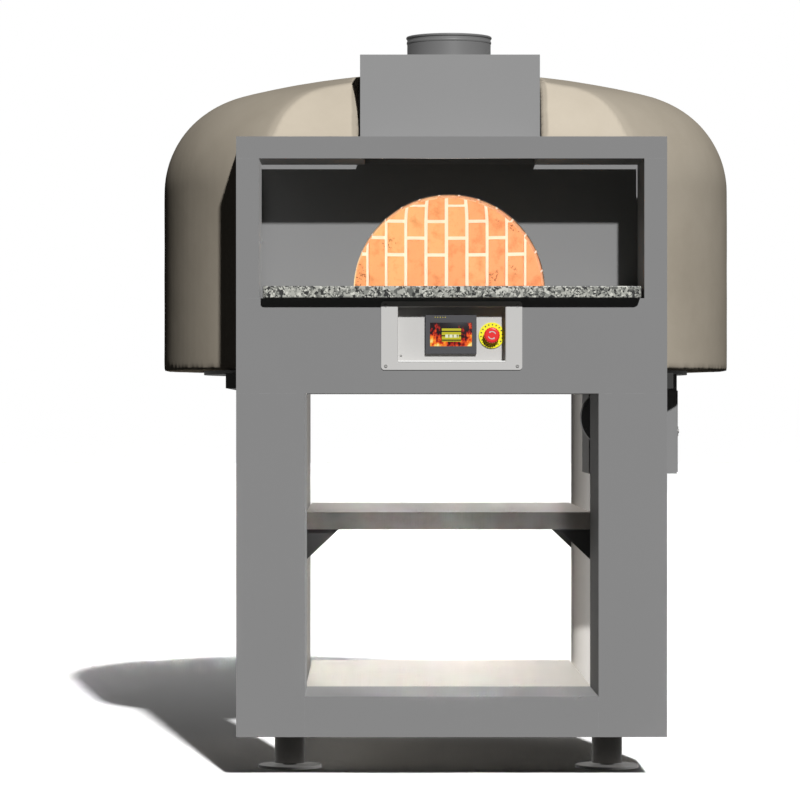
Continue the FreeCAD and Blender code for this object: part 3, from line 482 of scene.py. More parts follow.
@dataclass(frozen=True)
class Brick(Finish):
    """Fired brick whose tone changes from one brick to the next."""

    pale: Colour
    warm: Colour
    dark: Colour
    flush: Colour
    pit_scale: float = 150.0
    pit_depth: float = 0.0012

    def shade(self, graph: Graph, shader: bpy.types.Node) -> None:
        """Tone from the brick's own attribute, broken by mottling and pits."""
        tone = graph.add("ShaderNodeAttribute", attribute_name="tone").outputs["Fac"]
        fired = graph.ramp(tone, ((0.0, self.pale), (0.55, self.warm), (1.0, self.dark)))
        place = graph.add("ShaderNodeTexCoord").outputs["Object"]
        side = graph.clamp(graph.split(place)[0], -0.22, 0.26)
        fired = graph.mix(graph.maths("MULTIPLY", side, 0.8), fired, self.flush)
        broken = EFFECTS.mottle.put(graph, Low=(0.78, 0.74, 0.7), Middle=(1.0, 1.0, 1.0),
                                    High=(1.0, 1.0, 1.0), Scale=28.0, Speck_Scale=210.0, Specks=0.5)
        scars = graph.maths("MULTIPLY", graph.clamp(graph.noise(place, 9.0, 1.0), 0.62, 0.66),
                            graph.clamp(graph.noise(place, 110.0, 3.0, 0.7), 0.55, 0.6))
        worn = graph.mix(1.0, fired, broken["Color"], "MULTIPLY")
        graph.feed(shader, "Base Color", graph.mix(graph.maths("MULTIPLY", scars, 0.75), worn,
                                                   (0.16, 0.07, 0.04)))
        graph.feed(shader, "Roughness", 0.92)
        graph.feed(shader, "Specular IOR Level", 0.1)
        height = EFFECTS.relief.put(graph, Fine_Scale=self.pit_scale, Coarse_Scale=22.0)["Height"]
        self.emboss(graph, shader, height, self.pit_depth, 0.8)


@dataclass(frozen=True)
class Granite(Finish):
    """Polished granite of black, grey and pale grains."""

    grain: float = 125.0

    def shade(self, graph: Graph, shader: bpy.types.Node) -> None:
        """Two sizes of grain, each cell with a mineral of its own."""
        place = graph.add("ShaderNodeTexCoord").outputs["Object"]
        swirl = graph.add("ShaderNodeTexNoise", {"Vector": place, "Scale": 90.0, "Detail": 2.0})
        shift = graph.vector("SCALE", swirl.outputs[1], 0.006)
        bent = graph.vector("ADD", place, shift)
        minerals = ((0.0, (0.025, 0.026, 0.025)), (0.22, (0.11, 0.113, 0.103)),
                    (0.4, (0.23, 0.234, 0.212)), (0.6, (0.38, 0.382, 0.345)), (0.84, (0.56, 0.56, 0.505)))
        tones = []
        for scale in (self.grain, self.grain * 1.9):
            cells = graph.add("ShaderNodeTexVoronoi", {"Vector": bent, "Scale": scale})
            pick = graph.split(cells.outputs["Color"])[0]
            tones.append(graph.ramp(pick, minerals, stepped=True))
        patch = graph.clamp(graph.noise(place, 60.0, 2.0), 0.47, 0.53)
        graph.feed(shader, "Base Color", graph.mix(patch, tones[0], tones[1]))
        rough = graph.maths("ADD", 0.16, graph.maths("MULTIPLY", graph.noise(place, 300.0), 0.12))
        graph.feed(shader, "Roughness", rough)
        graph.feed(shader, "Specular IOR Level", 0.5)
        self.emboss(graph, shader, graph.noise(place, 420.0, 2.0), 0.00003, 0.4)


@dataclass(frozen=True)
class LitScreen(Finish):
    """Display glass with a picture of flames round a plain table of readings."""

    def shade(self, graph: Graph, shader: bpy.types.Node) -> None:
        """Flames from noise that rises with height, and a table laid out on the face's own map."""
        face = graph.add("ShaderNodeUVMap", uv_map="face").outputs[0]
        u, v, _ = graph.split(face)
        licks = graph.noise(graph.join(graph.maths("MULTIPLY", u, 9.0), graph.maths("MULTIPLY", v, 3.6),
                                       0.37), 1.0, 5.0, 0.62)
        side = graph.maths("MULTIPLY", graph.maths("ABSOLUTE", graph.maths("SUBTRACT", u, 0.5)), 0.62)
        heat = graph.maths("ADD", graph.maths("MULTIPLY", graph.maths("SUBTRACT", licks, 0.5), 1.9),
                           graph.maths("SUBTRACT", graph.maths("ADD", 0.5, side),
                                       graph.maths("MULTIPLY", v, 0.62)))
        fire = graph.ramp(heat, ((0.0, (0.004, 0.003, 0.003)), (0.3, (0.02, 0.002, 0.001)),
                                 (0.45, (0.45, 0.012, 0.003)), (0.62, (0.95, 0.13, 0.01)),
                                 (0.78, (1.0, 0.42, 0.03)), (0.98, (1.0, 0.85, 0.3))))
        table = self.window(graph, u, v, 0.28, 0.74, 0.2, 0.76)
        rows = graph.maths("LESS_THAN", graph.maths("PINGPONG", graph.maths("ADD", v, 0.02), 0.0933), 0.066)
        bars = graph.mix(rows, (0.03, 0.03, 0.004), (0.55, 0.5, 0.02))
        values = self.window(graph, u, v, 0.36, 0.68, 0.37, 0.5)
        cells = graph.maths("LESS_THAN", graph.maths("PINGPONG", u, 0.05), 0.037)
        shown = graph.mix(graph.maths("MULTIPLY", values, cells), bars, (0.8, 0.82, 0.6))
        picture = graph.mix(table, fire, shown)
        graph.feed(shader, "Base Color", (0.01, 0.01, 0.012, 1.0))
        graph.feed(shader, "Emission Color", picture)
        graph.feed(shader, "Emission Strength", 0.95)
        graph.feed(shader, "Roughness", 0.35)
        graph.feed(shader, "Specular IOR Level", 0.05)

    @staticmethod
    def window(graph: Graph, u: object, v: object, left: float, right: float, low: float,
               high: float) -> bpy.types.NodeSocket:
        """Mask that is 1 inside an upright rectangle of the face.

        Args:
            graph: The material's tree.
            u: Place across the face.
            v: Place up the face.
            left: Left side.
            right: Right side.
            low: Lower side.
            high: Upper side.

        Returns:
            The mask.
        """
        across = graph.maths("MULTIPLY", graph.maths("GREATER_THAN", u, left),
                             graph.maths("LESS_THAN", u, right))
        up = graph.maths("MULTIPLY", graph.maths("GREATER_THAN", v, low),
                         graph.maths("LESS_THAN", v, high))
        return graph.maths("MULTIPLY", across, up)


@dataclass(frozen=True)
class Glow(Finish):
    """Small lamp lens."""

    colour: Colour
    strength: float = 1.0

    def shade(self, graph: Graph, shader: bpy.types.Node) -> None:
        """Glossy lens whose light varies a little over it."""
        place = graph.add("ShaderNodeTexCoord").outputs["Object"]
        dim = tuple(0.7 * c for c in self.colour)
        lit = graph.mix(graph.noise(place, 300.0), self.colour, dim)
        graph.feed(shader, "Base Color", lit)
        graph.feed(shader, "Emission Color", lit)
        graph.feed(shader, "Emission Strength", self.strength)
        graph.feed(shader, "Roughness", 0.2)


@dataclass(frozen=True)
class FloorCoat(Finish):
    """Plain pale studio floor."""

    def shade(self, graph: Graph, shader: bpy.types.Node) -> None:
        """Near white with the faintest drift."""
        place = graph.add("ShaderNodeTexCoord").outputs["Object"]
        graph.feed(shader, "Base Color", graph.mix(graph.noise(place, 0.8), (0.9, 0.9, 0.9),
                                                   (0.94, 0.94, 0.94)))
        graph.feed(shader, "Roughness", 1.0)
        graph.feed(shader, "Specular IOR Level", 0.0)


FACADE = Paint("facade_paint", (0.2, 0.2, 0.2), roughness=0.6, gloss=0.15, dust=0.0)
# Lighter copy of the facade paint for the sill, as painted light on its top face.
SILL_PAINTED_LIGHT = Paint("sill_paint", (0.36, 0.36, 0.36), roughness=0.6, gloss=0.15, dust=0.0)
HOOD = Paint("hood_paint", (0.245, 0.245, 0.245), roughness=0.6, gloss=0.15, dust=0.0)
BLACK = Paint("frame_black", (0.012, 0.012, 0.011), roughness=0.5, gloss=0.3, worn=(0.2, 0.2, 0.2))
LEG = Paint("leg_paint", (0.36, 0.345, 0.325), roughness=0.42, gloss=0.3)
CREAM = Paint("tray_cream", (0.9, 0.85, 0.77), roughness=0.35, gloss=0.5, dust=0.03)
SHELF = Paint("shelf_beige", (0.37, 0.335, 0.3), roughness=0.4, gloss=0.45)
FOOT = Paint("foot_steel", (0.15, 0.147, 0.143), roughness=0.45, gloss=0.3)
GRANITE = Granite("granite")
# The stucco's flat front is painted 1.32 times brighter than its round body, as painted light.
STUCCO = Plaster("stucco", (0.345, 0.304, 0.243), (0.375, 0.331, 0.266), (0.4, 0.355, 0.288),
                 painted_light_front_gain=1.32)
REFRACTORY = Plaster("refractory", (0.95, 0.94, 0.9), (0.97, 0.97, 0.95), (0.98, 0.98, 0.97),
                     scale=14.0, sand_depth=0.0008)
DECK_STONE = Plaster("deck_stone", (0.5, 0.4, 0.3), (0.62, 0.52, 0.4), (0.68, 0.58, 0.46), scale=22.0)
FIBRE = Plaster("insulation", (0.5, 0.48, 0.44), (0.66, 0.65, 0.62), (0.74, 0.73, 0.7), scale=30.0)
FLUE = Paint("flue_steel", (0.15, 0.15, 0.15), roughness=0.45, gloss=0.3)
MACHINED = Metal("machined_steel", (0.55, 0.55, 0.56), roughness=0.28)
IRON = Metal("drive_iron", (0.13, 0.125, 0.12), roughness=0.42)
BLOWER = Paint("blower_black", (0.02, 0.02, 0.023), roughness=0.4, gloss=0.5)
CABINET = Paint("cabinet_grey", (0.2, 0.2, 0.2), roughness=0.55, gloss=0.25)
BEZEL = Paint("bezel_grey", (0.475, 0.468, 0.455), roughness=0.5, gloss=0.3)
SCREEN_CASE = Paint("screen_plastic", (0.047, 0.047, 0.052), roughness=0.5, gloss=0.3, peel_scale=1500.0)
SCREEN = LitScreen("screen_glass")
YELLOW = Paint("warning_yellow", (0.78, 0.74, 0.008), roughness=0.4, gloss=0.4, worn=(0.5, 0.45, 0.1))
RED = Paint("stop_red", (0.7, 0.018, 0.018), roughness=0.3, gloss=0.5, worn=(0.5, 0.1, 0.1))
STEM = Paint("stem_grey", (0.2, 0.2, 0.2), roughness=0.45, gloss=0.4)
FIREBRICK = Brick("firebrick", (0.8, 0.58, 0.31), (0.82, 0.53, 0.28), (0.8, 0.44, 0.24),
                  (0.85, 0.44, 0.27))
# Near-white paint for the strip on the window's lower edge, a painted highlight.
HIGHLIGHT_STRIP_PAINT = Paint("window_seal", (0.9, 0.9, 0.88), roughness=0.5, gloss=0.3)
SCREW = Paint("screw_zinc", (0.3, 0.295, 0.285), roughness=0.5, gloss=0.3)
INK = Paint("marking_ink", (0.02, 0.02, 0.02), roughness=0.5)
LAMP = Glow("panel_lamp", (0.6, 0.5, 0.05), 0.5)

SLOT_FINISHES = {f.name: f for f in (
    FACADE, HOOD, BLACK, LEG, CREAM, SHELF, FOOT, GRANITE, STUCCO, REFRACTORY, DECK_STONE, FIBRE, FLUE,
    MACHINED, IRON, BLOWER, CABINET, BEZEL, SCREEN_CASE, SCREEN, YELLOW, RED, STEM)}


# --- Meshes -----------------------------------------------------------------------------------


def add_object(name: str, mesh: bpy.types.Mesh) -> bpy.types.Object:
    """Link a new object for a mesh into the scene."""
    made = bpy.data.objects.new(name, mesh)
    bpy.context.scene.collection.objects.link(made)
    return made


def from_bmesh(name: str, shape: bmesh.types.BMesh, smooth: float = 35.0,
               outward: bool = True) -> bpy.types.Object:
    """Object made from a bmesh.

    Args:
        name: The object's name.
        shape: Its shape, freed here.
        smooth: Edges sharper than this stay sharp, in degrees.
        outward: True to turn its faces outwards.

    Returns:
        The new object.
    """
    if outward:
        bmesh.ops.recalc_face_normals(shape, faces=shape.faces)
    mesh = bpy.data.meshes.new(name)
    shape.to_mesh(mesh)
    shape.free()
    mesh.shade_smooth()
    mesh.set_sharp_from_angle(angle=math.radians(smooth))
    return add_object(name, mesh)


def applied(made: bpy.types.Object, smooth: float | None = 35.0) -> bpy.types.Object:
    """Bake an object's modifiers into its mesh.

    Args:
        made: The object.
        smooth: Edges sharper than this stay sharp, in degrees, or None to leave them.

    Returns:
        The same object, with a plain mesh.
    """
    graph = bpy.context.evaluated_depsgraph_get()
    mesh = bpy.data.meshes.new_from_object(made.evaluated_get(graph), depsgraph=graph)
    made.modifiers.clear()
    made.data = mesh
    mesh.name = made.name
    if smooth is not None:
        mesh.shade_smooth()
        mesh.set_sharp_from_angle(angle=math.radians(smooth))
    return made


def lathe(name: str, profile: Sequence[tuple[float, float]], centre: Point, axis: str = "Z",
          segments: int = 64) -> bpy.types.Object:
    """Closed profile turned round an axis.

    Args:
        name: The object's name.
        profile: Radius and height of each corner, in metres, round the closed section.
        centre: Point on the axis that heights start from.
        axis: Axis that heights run along, Z, or Y for a height that runs towards the front.
        segments: Steps round the axis.

    Returns:
        The new object.
    """
    shape = bmesh.new()
    rings = []
    for i in range(segments):
        angle = TURN * i / segments
        ring = []
        for radius, height in profile:
            across = (radius * math.cos(angle), radius * math.sin(angle))
            if axis == "Z":
                point = Vector((across[0], across[1], height))
            elif axis == "Y":
                point = Vector((across[0], -height, across[1]))
            else:
                point = Vector((height, across[0], across[1]))
            ring.append(shape.verts.new(point + Vector(centre)))
        rings.append(ring)
    count = len(profile)
    for i in range(segments):
        near, far = rings[i], rings[(i + 1) % segments]
        for k in range(count):
            n = (k + 1) % count
            shape.faces.new((near[k], near[n], far[n], far[k]))
    bmesh.ops.remove_doubles(shape, verts=shape.verts, dist=1e-6)
    return from_bmesh(name, shape)


def rounded_box(name: str, low: Point, high: Point, radius: float, segments: int = 3) -> bpy.types.Object:
    """Box between two corners with every edge rounded."""
    shape = bmesh.new()
    bmesh.ops.create_cube(shape, size=1.0)
    size = Vector(high) - Vector(low)
    middle = (Vector(high) + Vector(low)) / 2
    for vert in shape.verts:
        vert.co = Vector(a * b for a, b in zip(vert.co, size)) + middle
    bmesh.ops.bevel(shape, geom=shape.edges[:], offset=radius, segments=segments, profile=0.5,
                    affect="EDGES", clamp_overlap=True)
    return from_bmesh(name, shape)


def softened(node: str, name: str, width: float, segments: int = 2) -> bpy.types.Object:
    """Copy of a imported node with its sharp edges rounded.

    Args:
        node: The node to copy.
        name: The new object's name.
        width: Width of the rounding, in metres.
        segments: Steps across it.

    Returns:
        The new object.
    """
    shape = bmesh.new()
    shape.from_mesh(frame["nodes"][node].data)
    bmesh.ops.remove_doubles(shape, verts=shape.verts, dist=1e-5)
    bmesh.ops.dissolve_limit(shape, angle_limit=math.radians(1.0), verts=shape.verts, edges=shape.edges)
    made = from_bmesh(name, shape, 180.0, outward=False)
    bevel = made.modifiers.new("edges", "BEVEL")
    bevel.width = width
    bevel.segments = segments
    bevel.limit_method = "ANGLE"
    bevel.angle_limit = math.radians(40.0)
    made.modifiers.new("flat_faces", "WEIGHTED_NORMAL").weight = 100
    return applied(made, None)


# --- Geometry node recipes --------------------------------------------------------------------


class Recipe:
    """A geometry node tree with named inputs that ends in plain mesh."""

    def __init__(self, name: str, inputs: dict[str, SocketKind]) -> None:
        """Make the tree and its sockets.

        Args:
            name: The tree's name.
            inputs: Each input with its kind.
        """
        self.tree = bpy.data.node_groups.new(name, "GeometryNodeTree")
        face = self.tree.interface
        face.new_socket(name="Geometry", in_out="INPUT", socket_type=SocketKind.GEOMETRY.value)
        for label, kind in inputs.items():
            face.new_socket(name=label, in_out="INPUT", socket_type=kind.value)
        face.new_socket(name="Finish", in_out="INPUT", socket_type=SocketKind.MATERIAL.value)
        face.new_socket(name="Geometry", in_out="OUTPUT", socket_type=SocketKind.GEOMETRY.value)
        self.graph = Graph(self.tree)
        self.given = self.graph.add("NodeGroupInput").outputs

    def end(self, geometry: bpy.types.NodeSocket) -> None:
        """Realise instances, set the material and close the tree."""
        real = self.graph.add("GeometryNodeRealizeInstances", {"Geometry": geometry})
        dressed = self.graph.add("GeometryNodeSetMaterial",
                                 {"Geometry": real.outputs[0], "Material": self.given["Finish"]})
        self.graph.add("NodeGroupOutput", {"Geometry": dressed.outputs[0]})

    def make(self, host: bpy.types.Object, finish: Finish, smooth: float | None = 35.0,
             **values: object) -> bpy.types.Object:
        """Run the tree on an object and keep the result as plain mesh.

        Args:
            host: The object whose mesh the tree starts from.
            finish: The material of the result.
            smooth: Edges sharper than this stay sharp, in degrees.
            **values: Inputs, by name with spaces written as underscores.

        Returns:
            The same object with its new mesh.
        """
        modifier = host.modifiers.new("recipe", "NODES")
        modifier.node_group = self.tree
        values["Finish"] = finish.material()
        for socket in self.tree.interface.items_tree:
            label = socket.name.replace(" ", "_")
            if socket.in_out == "INPUT" and label in values:
                modifier[socket.identifier] = values[label]
        host.update_tag()
        bpy.context.view_layer.update()
        return applied(host, smooth)


class Recipes:
    """Every repeated shape's tree."""

    def __init__(self) -> None:
        """Build each tree once."""
        self.set_out = self.make_set_out()
        self.follow = self.make_follow()
        self.ring = self.make_ring()
        self.lining = self.make_lining()
        self.swell = self.make_swell()

    @staticmethod
    def part(graph: Graph, part: bpy.types.NodeSocket) -> bpy.types.NodeSocket:
        """Geometry of the object given as a part."""
        info = graph.add("GeometryNodeObjectInfo", {"Object": part})
        return info.outputs["Geometry"]

    @classmethod
    def make_set_out(cls) -> Recipe:
        """One part at each point of the host, its Z turned to one direction."""
        recipe = Recipe("set_out", {"Part": SocketKind.OBJECT, "Facing": SocketKind.VECTOR,
                                    "Spin": SocketKind.FLOAT, "Seed": SocketKind.INTEGER})
        graph, given = recipe.graph, recipe.given
        turned = graph.add("FunctionNodeAlignRotationToVector", {"Vector": given["Facing"]}, axis="Z")
        twist = graph.add("FunctionNodeRandomValue", {"Min": 0.0, "Max": given["Spin"],
                                                      "Seed": given["Seed"]}, data_type="FLOAT")
        spun = graph.add("FunctionNodeRotateRotation",
                         {"Rotation": turned.outputs[0],
                          "Rotate By": graph.add("FunctionNodeAxisAngleToRotation",
                                                 {"Axis": (0.0, 0.0, 1.0),
                                                  "Angle": twist.outputs[1]}).outputs[0]},
                         rotation_space="LOCAL")
        points = graph.add("GeometryNodeMeshToPoints", {"Mesh": given["Geometry"]})
        placed = graph.add("GeometryNodeInstanceOnPoints",
                           {"Points": points.outputs[0], "Instance": cls.part(graph, given["Part"]),
                            "Rotation": spun.outputs[0]})
        recipe.end(placed.outputs[0])
        return recipe

    @classmethod
    def make_follow(cls) -> Recipe:
        """Parts at even steps along the host's line, their X along it and their Z up."""
        recipe = Recipe("follow", {"Part": SocketKind.OBJECT, "Second Part": SocketKind.OBJECT,
                                   "Count": SocketKind.INTEGER, "Up": SocketKind.VECTOR})
        graph, given = recipe.graph, recipe.given
        curve = graph.add("GeometryNodeMeshToCurve", {"Mesh": given["Geometry"]})
        steps = graph.add("GeometryNodeCurveToPoints", {"Curve": curve.outputs[0],
                                                        "Count": given["Count"]}, mode="COUNT")
        upright = graph.add("FunctionNodeAlignRotationToVector", {"Vector": given["Up"]}, axis="Z")
        along = graph.add("FunctionNodeAlignRotationToVector",
                          {"Rotation": upright.outputs[0], "Vector": steps.outputs["Tangent"]},
                          axis="X", pivot_axis="Z")
        index = graph.add("GeometryNodeInputIndex").outputs[0]
        odd = graph.maths("MODULO", index, 2.0)
        placed = []
        for part, chosen in (("Part", graph.maths("LESS_THAN", odd, 0.5)),
                             ("Second Part", graph.maths("GREATER_THAN", odd, 0.5))):
            placed.append(graph.add("GeometryNodeInstanceOnPoints", {
                "Points": steps.outputs[0], "Selection": chosen,
                "Instance": cls.part(graph, given[part]), "Rotation": along.outputs[0]}).outputs[0])
        both = graph.add("GeometryNodeJoinGeometry")
        for socket in placed:
            graph.tree.links.new(socket, both.inputs[0])
        recipe.end(both.outputs[0])
        return recipe

    @classmethod
    def make_ring(cls) -> Recipe:
        """Parts round a circle about the origin's Z, their X pointing outwards, then moved into place."""
        recipe = Recipe("ring", {"Part": SocketKind.OBJECT, "Count": SocketKind.INTEGER,
                                 "Radius": SocketKind.FLOAT, "Start": SocketKind.FLOAT,
                                 "Tilt": SocketKind.VECTOR, "Centre": SocketKind.VECTOR})
        graph, given = recipe.graph, recipe.given
        points = graph.add("GeometryNodePoints", {"Count": given["Count"]})
        index = graph.add("GeometryNodeInputIndex").outputs[0]
        share = graph.maths("DIVIDE", graph.maths("MULTIPLY", index, TURN), given["Count"])
        angle = graph.maths("ADD", share, given["Start"])
        x = graph.maths("MULTIPLY", graph.maths("COSINE", angle), given["Radius"])
        y = graph.maths("MULTIPLY", graph.maths("SINE", angle), given["Radius"])
        placed = graph.add("GeometryNodeSetPosition", {"Geometry": points.outputs[0],
                                                       "Position": graph.join(x, y, 0.0)})
        turned = graph.add("FunctionNodeAxisAngleToRotation", {"Axis": (0.0, 0.0, 1.0), "Angle": angle})
        parts = graph.add("GeometryNodeInstanceOnPoints",
                          {"Points": placed.outputs[0], "Instance": cls.part(graph, given["Part"]),
                           "Rotation": turned.outputs[0]})
        real = graph.add("GeometryNodeRealizeInstances", {"Geometry": parts.outputs[0]})
        moved = graph.add("GeometryNodeTransform", {"Geometry": real.outputs[0],
                                                    "Translation": given["Centre"],
                                                    "Rotation": given["Tilt"]})
        recipe.end(moved.outputs[0])
        return recipe

    @staticmethod
    def make_lining() -> Recipe:
        """Bricks in upright bond on the surface that the host's line sweeps about an upright axis.

        Every other column starts with a brick twice as tall.
        """
        recipe = Recipe("lining", {
            "Columns": SocketKind.INTEGER, "Rows": SocketKind.INTEGER, "Row Pitch": SocketKind.FLOAT,
            "Joint": SocketKind.FLOAT, "Thickness": SocketKind.FLOAT, "Centre": SocketKind.VECTOR,
            "Mouth Radius": SocketKind.FLOAT, "Mouth Height": SocketKind.FLOAT,
            "Port": SocketKind.VECTOR, "Port Radius": SocketKind.FLOAT, "Turn": SocketKind.FLOAT,
            "Seed": SocketKind.INTEGER})
        graph, given = recipe.graph, recipe.given
        curve = graph.add("GeometryNodeMeshToCurve", {"Mesh": given["Geometry"]}).outputs[0]
        count = graph.maths("MULTIPLY", given["Columns"], given["Rows"])
        points = graph.add("GeometryNodePoints", {"Count": count}).outputs[0]
        index = graph.add("GeometryNodeInputIndex").outputs[0]
        column = graph.maths("FLOOR", graph.maths("DIVIDE", graph.maths("ADD", index, 0.5), given["Rows"]))
        row = graph.maths("SUBTRACT", index, graph.maths("MULTIPLY", column, given["Rows"]))
        stagger = graph.maths("MULTIPLY", graph.maths("MODULO", column, 2.0), 0.5)
        level = graph.maths("SUBTRACT", graph.maths("ADD", row, 0.5), stagger)
        spread = graph.add("GeometryNodeSetPosition", {"Geometry": points,
                                                       "Position": graph.join(column, level, 0.0)})
        brick = graph.add("GeometryNodeMeshCube", {"Vertices X": 4, "Vertices Y": 7, "Vertices Z": 2})
        laid = graph.add("GeometryNodeInstanceOnPoints", {"Points": spread.outputs[0],
                                                          "Instance": brick.outputs[0]})
        tone = graph.add("FunctionNodeRandomValue", {"Min": 0.0, "Max": 1.0, "Seed": given["Seed"]},
                         data_type="FLOAT")
        toned = graph.add("GeometryNodeStoreNamedAttribute",
                          {"Geometry": laid.outputs[0], "Name": "tone", "Value": tone.outputs[1]},
                          data_type="FLOAT", domain="INSTANCE")
        where = graph.add("GeometryNodeInputPosition").outputs[0]
        marked = graph.add("GeometryNodeStoreNamedAttribute",
                           {"Geometry": toned.outputs[0], "Name": "cell", "Value": where},
                           data_type="FLOAT_VECTOR", domain="INSTANCE")
        real = graph.add("GeometryNodeRealizeInstances", {"Geometry": marked.outputs[0]}).outputs[0]
        cell = graph.add("GeometryNodeInputNamedAttribute", {"Name": "cell"}, data_type="FLOAT_VECTOR")
        own = cell.outputs[0]
        cell_u, cell_v, _ = graph.split(own)
        local_u, local_v, local_w = graph.split(graph.vector("SUBTRACT", where, own))
        pitch = given["Row Pitch"]
        spot = graph.add("GeometryNodeSampleCurve", {"Curves": curve,
                                                     "Length": graph.maths("MULTIPLY", cell_v, pitch)},
                         mode="LENGTH")
        radius_mid = graph.split(spot.outputs["Position"])[0]
        width = graph.maths("DIVIDE", graph.maths("MULTIPLY", radius_mid, TURN), given["Columns"])
        shrink_u = graph.maths("MAXIMUM", graph.maths("SUBTRACT", 1.0,
                                                      graph.maths("DIVIDE", given["Joint"], width)), 0.2)
        shrink_v = graph.maths("SUBTRACT", 1.0, graph.maths("DIVIDE", given["Joint"], pitch))
        u = graph.maths("ADD", cell_u, graph.maths("MULTIPLY", local_u, shrink_u))
        tall = graph.maths("COMPARE", cell_v, 1.5, 0.1)
        middle_v = graph.maths("SUBTRACT", cell_v, graph.maths("MULTIPLY", tall, 0.5))
        v = graph.maths("ADD", middle_v, graph.maths("MULTIPLY", local_v,
                                                     graph.maths("ADD", shrink_v, tall)))
        ease = graph.maths("MULTIPLY", graph.maths("POWER", graph.maths("ABSOLUTE", graph.maths(
            "MULTIPLY", local_u, 2.0)), 8.0), 0.18)
        ease_v = graph.maths("MULTIPLY", graph.maths("POWER", graph.maths("ABSOLUTE", graph.maths(
            "MULTIPLY", local_v, 2.0)), 12.0), 0.18)
        rise = graph.maths("SUBTRACT", 1.0, graph.maths("ADD", ease, ease_v))
        depth = graph.maths("MULTIPLY", graph.maths("MULTIPLY", graph.maths("ADD", local_w, 0.5), rise),
                            given["Thickness"])
        line = graph.add("GeometryNodeSampleCurve", {"Curves": curve,
                                                     "Length": graph.maths("MULTIPLY", v, pitch)},
                         mode="LENGTH")
        run_r, _, run_z = graph.split(line.outputs["Tangent"])
        base_r, _, base_z = graph.split(line.outputs["Position"])
        radius = graph.maths("SUBTRACT", base_r, graph.maths("MULTIPLY", depth, run_z))
        height = graph.maths("ADD", base_z, graph.maths("MULTIPLY", depth, run_r))
        step = graph.maths("DIVIDE", TURN, given["Columns"])
        angle = graph.maths("ADD", graph.maths("MULTIPLY", u, step), given["Turn"])
        x = graph.maths("MULTIPLY", radius, graph.maths("COSINE", angle))
        y = graph.maths("MULTIPLY", radius, graph.maths("SINE", angle))
        place = graph.vector("ADD", graph.join(x, y, height), given["Centre"])
        bent = graph.add("GeometryNodeSetPosition", {"Geometry": real, "Position": place}).outputs[0]
        angle_mid = graph.maths("ADD", graph.maths("MULTIPLY", cell_u, step), given["Turn"])
        mid_x = graph.maths("MULTIPLY", radius_mid, graph.maths("COSINE", angle_mid))
        mid_y = graph.maths("MULTIPLY", radius_mid, graph.maths("SINE", angle_mid))
        mid_z = graph.split(spot.outputs["Position"])[2]
        lift = graph.maths("SUBTRACT", mid_z, given["Mouth Height"])
        off = graph.vector("LENGTH", graph.join(mid_x, lift, 0.0))
        front = graph.maths("LESS_THAN", mid_y, 0.0)
        in_mouth = graph.maths("MULTIPLY", front, graph.maths("LESS_THAN", off, given["Mouth Radius"]))
        reach = graph.vector("DISTANCE", graph.join(mid_x, mid_y, mid_z), given["Port"])
        gone = graph.maths("ADD", in_mouth, graph.maths("LESS_THAN", reach, given["Port Radius"]))
        gone = graph.maths("ADD", gone, graph.maths("LESS_THAN", radius_mid, 0.09))
        gone = graph.maths("ADD", gone, graph.maths("COMPARE", cell_v, 0.5, 0.1))
        kept = graph.add("GeometryNodeDeleteGeometry", {"Geometry": bent, "Selection": gone},
                         domain="POINT")
        recipe.end(kept.outputs[0])
        return recipe

    @staticmethod
    def make_swell() -> Recipe:
        """Uneven surface, moved along its normals by noise."""
        recipe = Recipe("swell", {"Scale": SocketKind.FLOAT, "Depth": SocketKind.FLOAT})
        graph, given = recipe.graph, recipe.given
        place = graph.add("GeometryNodeInputPosition").outputs[0]
        normal = graph.add("GeometryNodeInputNormal").outputs[0]
        height = graph.maths("SUBTRACT", graph.noise(place, given["Scale"], 3.0, 0.45), 0.5)
        push = graph.vector("SCALE", normal, graph.maths("MULTIPLY", height, given["Depth"]))
        moved = graph.add("GeometryNodeSetPosition", {"Geometry": given["Geometry"], "Offset": push})
        recipe.end(moved.outputs[0])
        return recipe


RECIPES = Recipes()


def points_host(name: str, places: Sequence[Point], joined: bool = False,
                closed: bool = False) -> bpy.types.Object:
    """Object whose mesh is loose points or a line through them, for a recipe to start from."""
    mesh = bpy.data.meshes.new(name)
    edges = []
    if joined:
        edges = [(i, i + 1) for i in range(len(places) - 1)]
        if closed:
            edges.append((len(places) - 1, 0))
    mesh.from_pydata([tuple(p) for p in places], edges, [])
    return add_object(name, mesh)


def set_out(name: str, part: bpy.types.Object, places: Sequence[Point], facing: Point, finish: Finish,
            spin: float = 0.0) -> bpy.types.Object:
    """Copies of a part at several places.

    Args:
        name: The new object's name.
        part: The part, whose Z turns to the facing; it is removed.
        places: Where the copies go.
        facing: Direction they face.
        finish: Their finish.
        spin: Largest random turn about the facing.

    Returns:
        One object with every copy.
    """
    host = points_host(name, places)
    made = RECIPES.set_out.make(host, finish, Part=part, Facing=facing, Spin=spin, Seed=7)
    bpy.data.objects.remove(part)
    return made


def ring_of(name: str, part: bpy.types.Object, count: int, radius: float, centre: Point,
            finish: Finish, tilt: Point = (0.0, 0.0, 0.0), start: float = 0.0) -> bpy.types.Object:
    """Copies of a part round a circle.

    Args:
        name: The new object's name.
        part: The part, whose X points outwards; it is removed.
        count: How many.
        radius: Radius of the circle.
        centre: Its centre.
        finish: Their finish.
        tilt: Turn of the whole ring, as three angles.
        start: Angle of the first.

    Returns:
        One object with every copy.
    """
    host = points_host(name, [(0.0, 0.0, 0.0)])
    made = RECIPES.ring.make(host, finish, Part=part, Count=count, Radius=radius, Centre=centre,
                             Tilt=tilt, Start=start)
    bpy.data.objects.remove(part)
    return made


